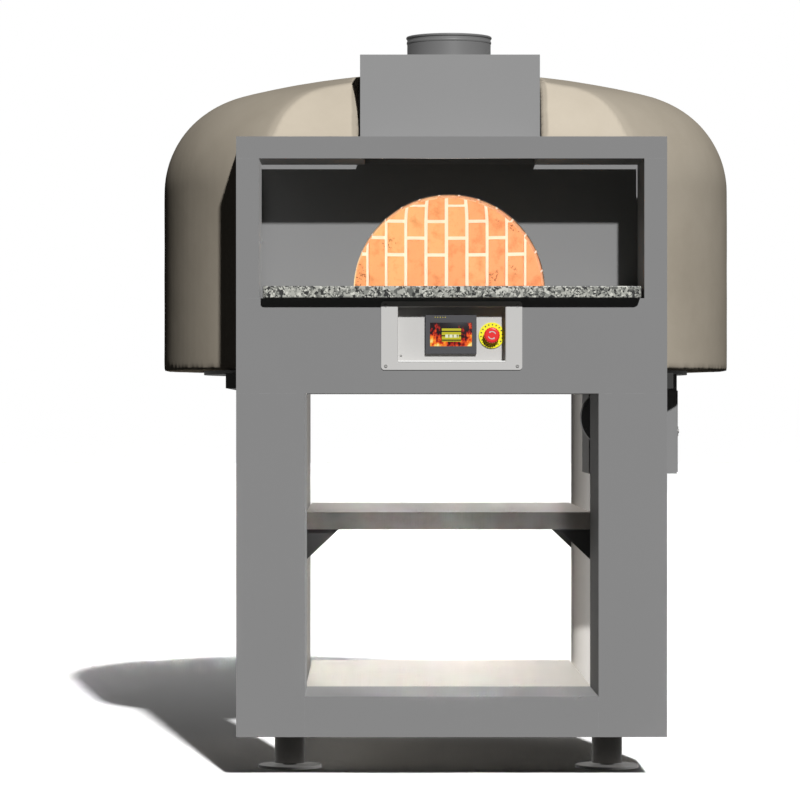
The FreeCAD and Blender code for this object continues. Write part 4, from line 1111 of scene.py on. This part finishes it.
def screw_head(radius: float, height: float) -> bpy.types.Object:
    """Round screw head with a socket, standing on its origin along Z."""
    lip = 0.25 * height
    hole = 0.45 * radius
    profile = [(0.0, -lip), (radius, -lip), (radius, height - 2 * lip), (radius - lip, height - lip / 2),
               (hole + lip, height), (hole, height - lip / 2), (hole * 0.95, height * 0.35),
               (0.0, height * 0.3)]
    return lathe("head", profile, (0, 0, 0), segments=20)


def hex_nut(across: float, height: float, bore: float) -> bpy.types.Object:
    """Hexagon nut or bolt head with chamfered corners, standing on its origin along Z."""
    shape = bmesh.new()
    outer = across / math.sqrt(3)
    levels = ((outer * 0.93, 0.0), (outer, height * 0.14), (outer, height * 0.86), (outer * 0.93, height),
              (bore, height), (bore, 0.0))
    rings = []
    for radius, z in levels:
        sides = [shape.verts.new((radius * math.cos(TURN * k / 6), radius * math.sin(TURN * k / 6), z))
                 for k in range(6)]
        rings.append(sides)
    for a in range(len(rings)):
        b = (a + 1) % len(rings)
        for k in range(6):
            n = (k + 1) % 6
            shape.faces.new((rings[a][k], rings[a][n], rings[b][n], rings[b][k]))
    bmesh.ops.remove_doubles(shape, verts=shape.verts, dist=1e-6)
    return from_bmesh("nut", shape)


# --- Sub-assemblies ---------------------------------------------------------------------------


def publish(made: bpy.types.Object, finish: Finish, body: Body = Body.ROOT,
            stands_for: Sequence[str] = ()) -> bpy.types.Object:
    """Dress a finished piece, tie it to its body and report it.

    Args:
        made: The piece.
        finish: Its finish.
        body: The body it rides on.
        stands_for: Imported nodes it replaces.

    Returns:
        The piece.
    """
    made.data.materials.clear()
    made.data.materials.append(finish.material())
    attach(made, body.value)
    if stands_for:
        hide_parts(*stands_for)
    LOG.info("%s: %d faces on %s", made.name, len(made.data.polygons), body.value)
    return made


def middle_of(node: str) -> Vector:
    """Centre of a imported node's box."""
    low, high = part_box(node)
    return (low + high) / 2


@dataclass
class PackedFinishes:
    """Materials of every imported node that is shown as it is."""

    def build(self) -> None:
        """Give each node the finish of its slot."""
        for part in frame["record"]["subparts"]:
            node = frame["nodes"][part["node"]]
            finish = SLOT_FINISHES[part["material_slot"]]
            node.data.materials.clear()
            node.data.materials.append(finish.material())
            LOG.info("%s wears %s", part["node"], finish.name)


@dataclass
class SheetWork:
    """Panels, shelves and boxes of folded sheet, with their edges eased."""

    edge: float = 0.0009

    def build(self) -> None:
        """Replace each panel with its eased copy."""
        groups = {
            "hood_paint": ("hood_box",),
            "tray_cream": ("bottom_tray",),
            "shelf_beige": ("mid_shelf",),
            "frame_black": ("shelf_gussets",),
            "bezel_grey": ("control_bezel",),
            "cabinet_grey": ("service_cabinet",),
        }
        # The sill wears the lighter copy of the facade paint, as painted light.
        frame["nodes"]["storage_sill"].data.materials[0] = SILL_PAINTED_LIGHT.material()
        for slot, nodes in groups.items():
            for node in nodes:
                made = softened(node, node + "_panel", self.edge)
                publish(made, SLOT_FINISHES[slot], stands_for=(node,))


@dataclass
class StuccoDome:
    """Trowelled outer dome."""

    voxel: float = 0.011
    swell_scale: float = 7.0
    swell_depth: float = 0.0016

    def build(self) -> None:
        """Remesh the shell evenly, soften its corners and give it a hand's unevenness."""
        shape = bmesh.new()
        shape.from_mesh(frame["nodes"]["dome_shell"].data)
        bmesh.ops.remove_doubles(shape, verts=shape.verts, dist=1e-5)
        made = from_bmesh("dome_stucco", shape, outward=False)
        remesh = made.modifiers.new("even", "REMESH")
        remesh.mode = "VOXEL"
        remesh.voxel_size = self.voxel
        ease = made.modifiers.new("ease", "SMOOTH")
        ease.factor = 0.5
        ease.iterations = 2
        applied(made, 180.0)
        RECIPES.swell.make(made, STUCCO, 180.0, Scale=self.swell_scale, Depth=self.swell_depth)
        publish(made, STUCCO, stands_for=("dome_shell",))


@dataclass
class BrickChamber:
    """Firebrick lining of the oven's chamber and of its mouth."""

    radius: float = 0.455
    floor: float = 1.2635
    start: float = 1.251
    turn: float = -0.0953
    spring: float = 1.480
    shoulder: float = 0.110
    apex: float = 1.650
    columns: int = 48
    row_pitch: float = 0.097
    joint: float = 0.010
    thickness: float = 0.005
    mouth_radius: float = 0.251
    mouth_bricks: int = 15
    port: Point = (0.400, -0.215, 1.350)
    port_radius: float = 0.05

    def profile(self) -> list[Point]:
        """Line of the wall, shoulder and crown, as radius and height."""
        reach = self.radius - self.shoulder
        rise = self.apex - self.spring
        crown = (reach ** 2 + rise ** 2 - self.shoulder ** 2) / (2 * (rise - self.shoulder))
        crown_z = self.apex - crown
        meet = math.atan2(self.spring - crown_z, reach)
        line = [(self.radius, 0.0, self.start), (self.radius, 0.0, self.spring)]
        steps = 12
        for k in range(1, steps + 1):
            angle = meet * k / steps
            line.append((reach + self.shoulder * math.cos(angle), 0.0,
                         self.spring + self.shoulder * math.sin(angle)))
        for k in range(1, steps + 1):
            angle = meet + (math.pi / 2 - meet) * k / steps
            line.append((crown * math.cos(angle), 0.0, crown_z + crown * math.sin(angle)))
        return line

    def build(self) -> None:
        """Lay the chamber's bricks, then the mouth's."""
        centre = middle_of("deck_stone")
        line = self.profile()
        length = sum((Vector(b) - Vector(a)).length for a, b in zip(line, line[1:]))
        host = points_host("chamber_bricks", line, joined=True)
        made = RECIPES.lining.make(
            host, FIREBRICK, 40.0, Columns=self.columns, Rows=int(length / self.row_pitch) + 1,
            Row_Pitch=self.row_pitch, Joint=self.joint, Thickness=self.thickness,
            Centre=(centre.x, centre.y, 0.0), Mouth_Radius=self.mouth_radius + 0.062,
            Mouth_Height=self.floor, Port=self.port, Port_Radius=self.port_radius,
            Turn=self.turn, Seed=11)
        publish(made, FIREBRICK)
        self.arch()

    def arch(self) -> None:
        """Wedge bricks round the inside of the mouth."""
        low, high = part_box("mouth_sill")
        depth = high.y - low.y
        step = math.pi / self.mouth_bricks
        shape = bmesh.new()
        tone = shape.verts.layers.float.new("tone")
        for row in range(2):
            y0 = low.y + 0.003 + row * depth / 2
            y1 = y0 + depth / 2 - 0.006
            for k in range(self.mouth_bricks):
                a0 = step * k + 0.012
                a1 = step * (k + 1) - 0.012
                wedge = []
                for y in (y0, y1):
                    for radius in (self.mouth_radius - 0.002, self.mouth_radius + 0.004):
                        for i in range(5):
                            a = a0 + (a1 - a0) * i / 4
                            wedge.append(shape.verts.new((-radius * math.cos(a), y,
                                                          self.floor - 0.0015 + radius * math.sin(a))))
                for vert in wedge:
                    vert[tone] = (k * 0.37 + row * 0.21) % 1.0
                front_in, front_out, back_in, back_out = (wedge[i:i + 5] for i in (0, 5, 10, 15))
                for i in range(4):
                    shape.faces.new((front_in[i], front_in[i + 1], back_in[i + 1], back_in[i]))
                    shape.faces.new((front_out[i], back_out[i], back_out[i + 1], front_out[i + 1]))
                    shape.faces.new((front_in[i], front_out[i], front_out[i + 1], front_in[i + 1]))
                    shape.faces.new((back_in[i], back_in[i + 1], back_out[i + 1], back_out[i]))
                for i in (0, 4):
                    shape.faces.new((front_in[i], back_in[i], back_out[i], front_out[i]))
        publish(from_bmesh("mouth_bricks", shape), FIREBRICK)


@dataclass
class LandingShelf:
    """Granite slab in front of the mouth."""

    arris: float = 0.0025

    def build(self) -> None:
        """Slab with polished, rounded edges."""
        made = softened("granite_shelf", "granite_slab", self.arris, 3)
        publish(made, GRANITE, stands_for=("granite_shelf",))


@dataclass
class FlueCollar:
    """Round collar on the hood with a rolled rim and a bead."""

    wall: float = 0.003
    roll: float = 0.0035

    def build(self) -> None:
        """Turn the collar."""
        low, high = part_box("flue_collar")
        centre = (low + high) / 2
        radius = (high.x - low.x) / 2
        rise = high.z - low.z
        inner = radius - self.wall
        profile = [(inner, 0.0), (radius, 0.0)]
        bead = rise * 0.72
        for k in range(7):
            angle = math.pi * (k / 6 - 0.5)
            profile.append((radius + 0.0015 * math.cos(angle), bead + 0.004 * math.sin(angle)))
        top = rise - self.roll
        for k in range(9):
            angle = math.pi * (k / 8 - 0.5)
            profile.append((radius + self.roll * 0.8 * math.cos(angle), top + self.roll * math.sin(angle)))
        profile.append((inner, rise))
        made = lathe("flue_ring", profile, (centre.x, centre.y, low.z), segments=128)
        publish(made, FLUE, stands_for=("flue_collar",))


@dataclass
class ControlPanel:
    """Screws, touchscreen and emergency stop of the control panel."""

    screw_radius: float = 0.0045
    screw_inset: tuple[float, float] = (0.012, 0.010)
    sheet: float = 0.002

    def build(self) -> None:
        """Make each part of the panel."""
        self.screws()
        self.painted_highlight_strip()
        self.screen()
        self.stop_button()

    def screws(self) -> None:
        """Socket screws in the bezel's corners and one in the recess."""
        low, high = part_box("control_bezel")
        inset_x, inset_z = self.screw_inset
        places = [(x, low.y, z) for x in (low.x + inset_x, high.x - inset_x)
                  for z in (low.z + inset_z, high.z - inset_z)]
        part = screw_head(self.screw_radius, 0.0024)
        made = set_out("bezel_screws", part, places, (0, -1, 0), SCREW, 1.0)
        publish(made, SCREW, stands_for=("panel_screws",))
        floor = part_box("control_recess")[1].y - 0.002
        made = set_out("recess_screw", screw_head(0.003, 0.002), [(-0.129, floor, 1.086)], (0, -1, 0),
                       SCREW)
        publish(made, SCREW)

    def painted_highlight_strip(self) -> None:
        """Pale strip along the lower edge of the panel's window, a painted highlight where light catches that
        edge.
        """
        low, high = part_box("control_recess")
        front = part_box("control_bezel")[0].y
        # The strip stands in for light caught on the window's lower edge: a painted highlight.
        base = low.z + self.sheet
        made = rounded_box("window_seal", (low.x + self.sheet, front - 0.0006, base - 0.0004),
                           (high.x - self.sheet, front + 0.004, base + 0.0024), 0.0007)
        publish(made, HIGHLIGHT_STRIP_PAINT)

    def screen(self) -> None:
        """Housing with rounded edges, its lit face and the row of lamps over it."""
        made = softened("touchscreen_housing", "screen_case", 0.0015, 3)
        publish(made, SCREEN_CASE, stands_for=("touchscreen_housing",))
        low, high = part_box("touchscreen_glass")
        made = rounded_box("screen_face", low, high, 0.0004, 2)
        layer = made.data.uv_layers.new(name="face")
        for loop in made.data.loops:
            point = made.data.vertices[loop.vertex_index].co
            layer.data[loop.index].uv = ((point.x - low.x) / (high.x - low.x),
                                         (point.z - low.z) / (high.z - low.z))
        publish(made, SCREEN, stands_for=("touchscreen_glass",))
        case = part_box("touchscreen_housing")[0]
        lens = lathe("lens", [(0.0, -0.0005), (0.0011, -0.0005), (0.0011, 0.0002), (0.0006, 0.0007),
                              (0.0, 0.0008)], (0, 0, 0), segments=12)
        places = [(case.x + 0.025 + 0.0065 * k, case.y, high.z + 0.014) for k in range(5)]
        publish(set_out("panel_lamps", lens, places, (0, -1, 0), LAMP), LAMP)

    def stop_button(self) -> None:
        """Ring of marks on the yellow plate, and the ribbed red head with its turning arrows."""
        low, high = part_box("estop_collar")
        centre = (low + high) / 2
        plate = high.y - 0.004
        mark = rounded_box("mark", (-0.0019, -0.0014, -0.0001), (0.0019, 0.0014, 0.0003), 0.0001, 1)
        made = ring_of("stop_plate_marks", mark, 18, 0.0275, (centre.x, plate, centre.z), INK,
                       (math.pi / 2, 0.0, 0.0), 0.1)
        publish(made, INK)
        head_low, head_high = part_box("estop_head")
        radius = (head_high.z - head_low.z) / 2
        rib = rounded_box("rib", (-0.0012, -0.0011, -0.0035), (0.0006, 0.0011, 0.0035), 0.0005, 2)
        made = ring_of("stop_head_ribs", rib, 20, radius, (centre.x, head_high.y - 0.0055, centre.z), RED,
                       (math.pi / 2, 0.0, 0.0))
        publish(made, RED, Body.STOP_HEAD)
        self.arrows(centre, head_low.y)

    def arrows(self, centre: Vector, front: float) -> None:
        """Two raised arrows round the head's face, which show the way it turns."""
        shape = bmesh.new()
        radius, half, rise = 0.0095, 0.0012, 0.0004
        for turn in (0.0, math.pi):
            spine = [(turn + 0.35 + 1.7 * k / 10, half) for k in range(11)]
            spine += [(turn + 2.051, half * 2.4), (turn + 2.45, 0.0002)]
            rows = []
            for angle, width in spine:
                row = []
                for r, d in ((radius - width, 0.0008), (radius - width, -rise), (radius + width, -rise),
                             (radius + width, 0.0008)):
                    row.append(shape.verts.new((centre.x + r * math.cos(angle), front + d,
                                                centre.z + r * math.sin(angle))))
                rows.append(row)
            for near, far in zip(rows, rows[1:]):
                for k in range(4):
                    n = (k + 1) % 4
                    shape.faces.new((near[k], near[n], far[n], far[k]))
            shape.faces.new(rows[0])
            shape.faces.new(rows[-1])
        publish(from_bmesh("stop_head_arrows", shape), BEZEL, Body.STOP_HEAD)


@dataclass
class LegHardware:
    """Nuts, shoulders and welds of the legs and feet."""

    nut_across: float = 0.024
    nut_height: float = 0.010
    thread_pitch: float = 0.0022

    def build(self) -> None:
        """Add each leg's hardware."""
        weld_places = []
        for row in ("front", "rear"):
            for side in ("left", "right"):
                self.foot(f"{row}_{side}")
                low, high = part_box(f"leg_{row}_{side}")
                weld_places.append(((low.x + high.x) / 2, (low.y + high.y) / 2, high.z - 0.001))
        self.welds(weld_places)

    def foot(self, name: str) -> None:
        """Lock nut and a domed shoulder on one foot."""
        low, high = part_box("foot_" + name)
        x, y = (low.x + high.x) / 2, (low.y + high.y) / 2
        disc = low.z + 0.007
        body = "foot_" + name
        profile = [(0.008, 0.0), (0.019, 0.0), (0.0165, 0.0022), (0.011, 0.005), (0.0088, 0.007)]
        made = lathe(f"foot_shoulder_{name}", profile, (x, y, disc), segments=48)
        made.data.materials.append(FOOT.material())
        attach(made, body)
        LOG.info("%s rides on %s", made.name, body)
        nut = hex_nut(self.nut_across, self.nut_height, 0.0081)
        made = set_out(f"foot_nut_{name}", nut, [(x, y, disc + 0.010)], (0, 0, 1), MACHINED)
        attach(made, body)
        LOG.info("%s rides on %s", made.name, body)

    def welds(self, places: Sequence[Point]) -> None:
        """Bead of weld round the top of each leg."""
        radius = 0.041
        bead = lathe("bead", [(0.0, -0.0022), (0.0026, -0.0012), (0.003, 0.0004), (0.0017, 0.0017),
                              (0.0, 0.002)], (0, 0, 0), segments=8)
        spots = []
        for x, y, z in places:
            for k in range(64):
                angle = TURN * k / 64
                spots.append((x + radius * math.cos(angle), y + radius * math.sin(angle), z))
        publish(set_out("leg_welds", bead, spots, (0, 0, 1), BLACK), BLACK)


@dataclass
class DriveTrain:
    """Roller chain, gearmotor details and bolts under the oven."""

    pitch: float = 0.0127
    deck_teeth: int = 60
    motor_teeth: int = 15
    links: int = 112

    def build(self) -> None:
        """Make the chain and the motor's details."""
        self.chain()
        self.motor()
        self.bolts()

    def pitch_radius(self, teeth: int) -> float:
        """Radius of a sprocket's pitch circle."""
        return self.pitch / (2 * math.sin(math.pi / teeth))

    def chain_line(self, centre: Vector, gap: float, z: float) -> list[Point]:
        """Points of the chain's closed line.

        Args:
            centre: Middle of the large sprocket.
            gap: Distance between the sprockets.
            z: Height of the line.

        Returns:
            The points, in order.
        """
        big, small = self.pitch_radius(self.deck_teeth), self.pitch_radius(self.motor_teeth)
        lean = math.acos((big - small) / gap)
        line = []
        for k in range(13):
            angle = lean - 2 * lean * k / 12
            line.append((centre.x + gap + small * math.cos(angle), centre.y + small * math.sin(angle), z))
        for k in range(49):
            angle = -lean - (TURN - 2 * lean) * k / 48
            line.append((centre.x + big * math.cos(angle), centre.y + big * math.sin(angle), z))
        return line

    def link(self, name: str, spread: float) -> bpy.types.Object:
        """One chain link: two waisted side plates and a roller at its start."""
        shape = bmesh.new()
        half = self.pitch / 2
        for side in (-1, 1):
            outline = []
            for end in (1, -1):
                for k in range(7):
                    angle = math.pi * (k / 6 - 0.5) + (0 if end > 0 else math.pi)
                    outline.append((end * half + 0.0047 * math.cos(angle), 0.0047 * math.sin(angle)))
                outline.append((0.0, end * 0.0036))
            low = side * spread - 0.0007
            lower = [shape.verts.new((x, y, low)) for x, y in outline]
            upper = [shape.verts.new((x, y, low + 0.0014)) for x, y in outline]
            shape.faces.new(lower)
            shape.faces.new(upper)
            for k in range(len(outline)):
                n = (k + 1) % len(outline)
                shape.faces.new((lower[k], lower[n], upper[n], upper[k]))
        for x, radius, reach in ((half, 0.00385, 0.0037), (half, 0.0019, 0.0077)):
            made = bmesh.ops.create_cone(shape, cap_ends=True, segments=12, radius1=radius,
                                         radius2=radius, depth=2 * reach)
            bmesh.ops.translate(shape, verts=made["verts"], vec=(x, 0, 0))
        return from_bmesh(name, shape)

    def chain(self) -> None:
        """Links along the chain's line."""
        centre = middle_of("deck_sprocket")
        gap = middle_of("motor_sprocket").x - centre.x
        low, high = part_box("drive_chain")
        line = self.chain_line(centre, gap, (low.z + high.z) / 2)
        host = points_host("roller_chain", line, joined=True, closed=True)
        inner, outer = self.link("inner_link", 0.0049), self.link("outer_link", 0.0066)
        made = RECIPES.follow.make(host, IRON, Part=inner, Second_Part=outer, Count=self.links,
                                   Up=(0.0, 0.0, 1.0))
        bpy.data.objects.remove(inner)
        bpy.data.objects.remove(outer)
        publish(made, IRON, stands_for=("drive_chain",))

    def motor(self) -> None:
        """Cooling fins round the motor."""
        low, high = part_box("gearmotor")
        x, y = (low.x + high.x) / 2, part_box("gearmotor")[0].y
        centre = Vector((x, (low.y + high.y) / 2, low.z))
        fin = rounded_box("fin", (-0.002, -0.0009, 0.0), (0.004, 0.0009, 0.088), 0.0006, 1)
        made = ring_of("motor_fins", fin, 30, 0.040, (x, centre.y + 0.0005, low.z + 0.018), BLOWER)
        publish(made, BLOWER)

    def bolts(self) -> None:
        """Bolts that hold the base plate to its frame."""
        low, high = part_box("base_frame")
        nut = hex_nut(0.019, 0.008, 0.0001)
        places = [(x, y, low.z) for x in (low.x + 0.12, -0.2, 0.2, high.x - 0.12)
                  for y in (low.y + 0.133, high.y - 0.02)]
        publish(set_out("frame_bolts", nut, places, (0, 0, -1), MACHINED), MACHINED)


@dataclass
class SideCabinet:
    """Service cabinet and the burner's blower beside it."""

    louvres: int = 9

    def build(self) -> None:
        """Add the door's louvres, and the blower's grille and screws."""
        self.door()
        self.blower()

    def door(self) -> None:
        """Block of pressed louvres on the door leaf."""
        low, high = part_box("cabinet_door")
        face = high.x - 0.0100
        part = self.louvre()
        places = [(face, (low.y + high.y) / 2 + 0.01, low.z + 0.03 + 0.0105 * k) for k in range(self.louvres)]
        made = set_out("door_louvres", part, places, (1, 0, 0), CABINET)
        publish(made, CABINET, Body.DOOR)

    @staticmethod
    def louvre() -> bpy.types.Object:
        """Pressed hood of one louvre, lying along Y with its back on the origin's plane."""
        shape = bmesh.new()
        half, drop, rise = 0.06, 0.006, 0.0035
        rows = []
        steps = 8
        for k in range(steps + 1):
            share = math.sin(math.pi * k / steps) ** 0.5
            y = -half + 2 * half * k / steps
            rows.append([shape.verts.new((0.0, y, -0.0004)), shape.verts.new((-drop / 2, y, -0.0004)),
                         shape.verts.new((-drop / 2, y, 0.0001)),
                         shape.verts.new((drop * 0.1, y, rise * share + 0.0001)),
                         shape.verts.new((drop / 2, y, 0.0))])
        for near, far in zip(rows, rows[1:]):
            for k in range(5):
                n = (k + 1) % 5
                shape.faces.new((near[k], near[n], far[n], far[k]))
        shape.faces.new(rows[0])
        shape.faces.new(rows[-1])
        return from_bmesh("louvre", shape)

    def blower(self) -> None:
        """Round wire grille over the intake and screws round the drum."""
        low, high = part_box("blower_housing")
        centre = middle_of("blower_wheel")
        front = low.y
        wires = []
        for radius in (0.012, 0.021, 0.030, 0.039, 0.047):
            tube = [(radius + 0.0011 * math.cos(TURN * k / 8), 0.0014 + 0.0011 * math.sin(TURN * k / 8))
                    for k in range(8)]
            wires.append(lathe("wire", tube, (centre.x, front, centre.z), "Y", 40))
        spoke = rounded_box("spoke", (-0.04, -0.0011, -0.0008), (0.0085, 0.0011, 0.001), 0.0006, 2)
        spokes = ring_of("blower_grille", spoke, 6, 0.041, (centre.x, front - 0.0004, centre.z), BLOWER,
                         (math.pi / 2, 0.0, 0.0))
        merged = bmesh.new()
        for piece in wires + [spokes]:
            merged.from_mesh(piece.data)
        for piece in wires + [spokes]:
            bpy.data.objects.remove(piece)
        publish(from_bmesh("blower_grille", merged, outward=False), MACHINED)
        head = screw_head(0.0035, 0.002)
        places = []
        for k in range(8):
            angle = TURN * (k + 0.5) / 8
            places.append((centre.x + 0.072 * math.cos(angle), front, centre.z + 0.072 * math.sin(angle)))
        publish(set_out("blower_screws", head, places, (0, -1, 0), BLOWER, 1.0), BLOWER)


@dataclass
class Studio:
    """Camera, lights, sky and floor."""

    eye: Point = (-0.216, -9.936, 0.934)
    focal: float = 162.0
    shift: tuple[float, float] = (0.04125, 0.01875)
    sun_path: Point = (-0.195, 1.0, -0.587)
    sun_strength: float = 4.15
    floor_path: Point = (-0.172, 1.0, -0.53)
    floor_strength: float = 7.6
    fill_path: Point = (-0.848, 0.0, -0.53)
    fill_strength: float = 4.0
    leg_path: Point = (-0.35, 0.9, -0.3)
    leg_strength: float = 2.0
    back_power: float = 48.0
    rear_power: float = 90.0
    back_pieces: tuple[str, ...] = ("dome_stucco",)
    sky: float = 0.02
    mirror_sky: float = 0.45

    def build(self) -> None:
        """Set the stage."""
        self.camera()
        floor = self.floor()
        filled = [frame["nodes"][node] for node in (
            "niche_wall_left", "storage_jamb_left", "storage_sill", "foot_front_left",
            "foot_front_right")]
        rear = [frame["nodes"][node] for node in ("leg_rear_left", "leg_rear_right")]
        filled += [bpy.data.objects[node + "_panel"] for node in ("bottom_tray", "mid_shelf")]
        self.sun("key_sun", self.sun_strength, self.sun_path)
        self.sun("floor_sun", self.floor_strength, self.floor_path, [floor])
        self.sun("fill_sun", self.fill_strength, self.fill_path, filled).data.use_shadow = False
        self.sun("leg_sun", self.leg_strength, self.leg_path, rear).data.use_shadow = False
        self.area("back_light", self.back_power, 5.0, ((-1.5, 5.0, 3.5), (0.0, 0.0, -1.0)), [floor])
        behind = [piece for piece in bpy.data.objects if piece.name in self.back_pieces]
        self.area("rear_light", self.rear_power, 3.0, ((-0.6, 4.6, 1.8), (0.1, -1.0, -0.15)), behind)
        self.fire_light()
        self.world()
        bpy.context.scene.view_settings.view_transform = "Standard"

    def camera(self) -> None:
        """Long lens, level, in front of the oven."""
        data = bpy.data.cameras.new("camera")
        data.lens = self.focal
        data.sensor_width = 36.0
        data.shift_x, data.shift_y = self.shift
        data.clip_end = 200.0
        made = bpy.data.objects.new("camera", data)
        made.location = self.eye
        made.rotation_euler = (math.pi / 2, 0.0, 0.0)
        bpy.context.scene.collection.objects.link(made)
        bpy.context.scene.camera = made

    def floor(self) -> bpy.types.Object:
        """Large pale floor."""
        shape = bmesh.new()
        bmesh.ops.create_grid(shape, x_segments=4, y_segments=4, size=60.0)
        made = from_bmesh("floor", shape, outward=False)
        made.data.materials.append(FloorCoat("floor").material())
        made.visible_diffuse = False
        made.visible_glossy = False
        return made

    @staticmethod
    def light_only(light: bpy.types.Object, pieces: Sequence[bpy.types.Object]) -> None:
        """Make a light reach some objects alone."""
        receivers = bpy.data.collections.new(light.name + "_receivers")
        for piece in pieces:
            receivers.objects.link(piece)
        light.light_linking.receiver_collection = receivers

    @classmethod
    def sun(cls, name: str, strength: float, path: Point,
            pieces: Sequence[bpy.types.Object] = ()) -> bpy.types.Object:
        """Add a sun.

        Args:
            name: The light's name.
            strength: Its strength.
            path: Direction its light travels.
            pieces: The objects it lights, or none for all.

        Returns:
            The light.
        """
        data = bpy.data.lights.new(name, "SUN")
        data.energy = strength
        data.angle = math.radians(1.6)
        made = bpy.data.objects.new(name, data)
        made.rotation_euler = Vector(path).to_track_quat("-Z", "Y").to_euler()
        bpy.context.scene.collection.objects.link(made)
        if pieces:
            cls.light_only(made, pieces)
        return made

    def area(self, name: str, power: float, size: float, aim: tuple[Point, Point],
             pieces: Sequence[bpy.types.Object]) -> None:
        """Add a broad soft light that reaches some objects alone.

        Args:
            name: The light's name.
            power: Its power.
            size: Side of the square.
            aim: Where it stands and the direction it faces.
            pieces: The objects it lights.
        """
        data = bpy.data.lights.new(name, "AREA")
        data.energy = power
        data.size = size
        made = bpy.data.objects.new(name, data)
        made.location = aim[0]
        made.rotation_euler = Vector(aim[1]).to_track_quat("-Z", "Y").to_euler()
        made.visible_camera = False
        bpy.context.scene.collection.objects.link(made)
        self.light_only(made, pieces)

    def fire_light(self) -> None:
        """Warm light inside the chamber."""
        centre = middle_of("deck_stone")
        data = bpy.data.lights.new("chamber_light", "POINT")
        data.energy = 4.6
        data.color = (1.0, 0.96, 0.9)
        data.shadow_soft_size = 0.05
        made = bpy.data.objects.new("chamber_light", data)
        made.location = (centre.x, centre.y - 0.05, 1.34)
        made.visible_camera = False
        bpy.context.scene.collection.objects.link(made)

    def world(self) -> None:
        """White for the eye, dim for everything else."""
        world = bpy.data.worlds.new("studio")
        world.use_nodes = True
        graph = Graph(world.node_tree)
        back = world.node_tree.nodes["Background"]
        path = graph.add("ShaderNodeLightPath").outputs
        lit = graph.mix(path["Is Glossy Ray"], (self.sky,) * 3, (self.mirror_sky,) * 3)
        graph.feed(back, "Color", graph.mix(path["Is Camera Ray"], lit, (1.0, 1.0, 1.0)))
        bpy.context.scene.world = world


def main() -> None:
    """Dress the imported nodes, then build every sub-assembly in order."""
    logging.basicConfig(level=logging.INFO, format="%(message)s")
    steps = (PackedFinishes(), SheetWork(), StuccoDome(), BrickChamber(), LandingShelf(),
             FlueCollar(), ControlPanel(), LegHardware(), DriveTrain(), SideCabinet(), Studio())
    for step in steps:
        LOG.info("-- %s", type(step).__name__)
        step.build()


if __name__ == "__main__":
    main()
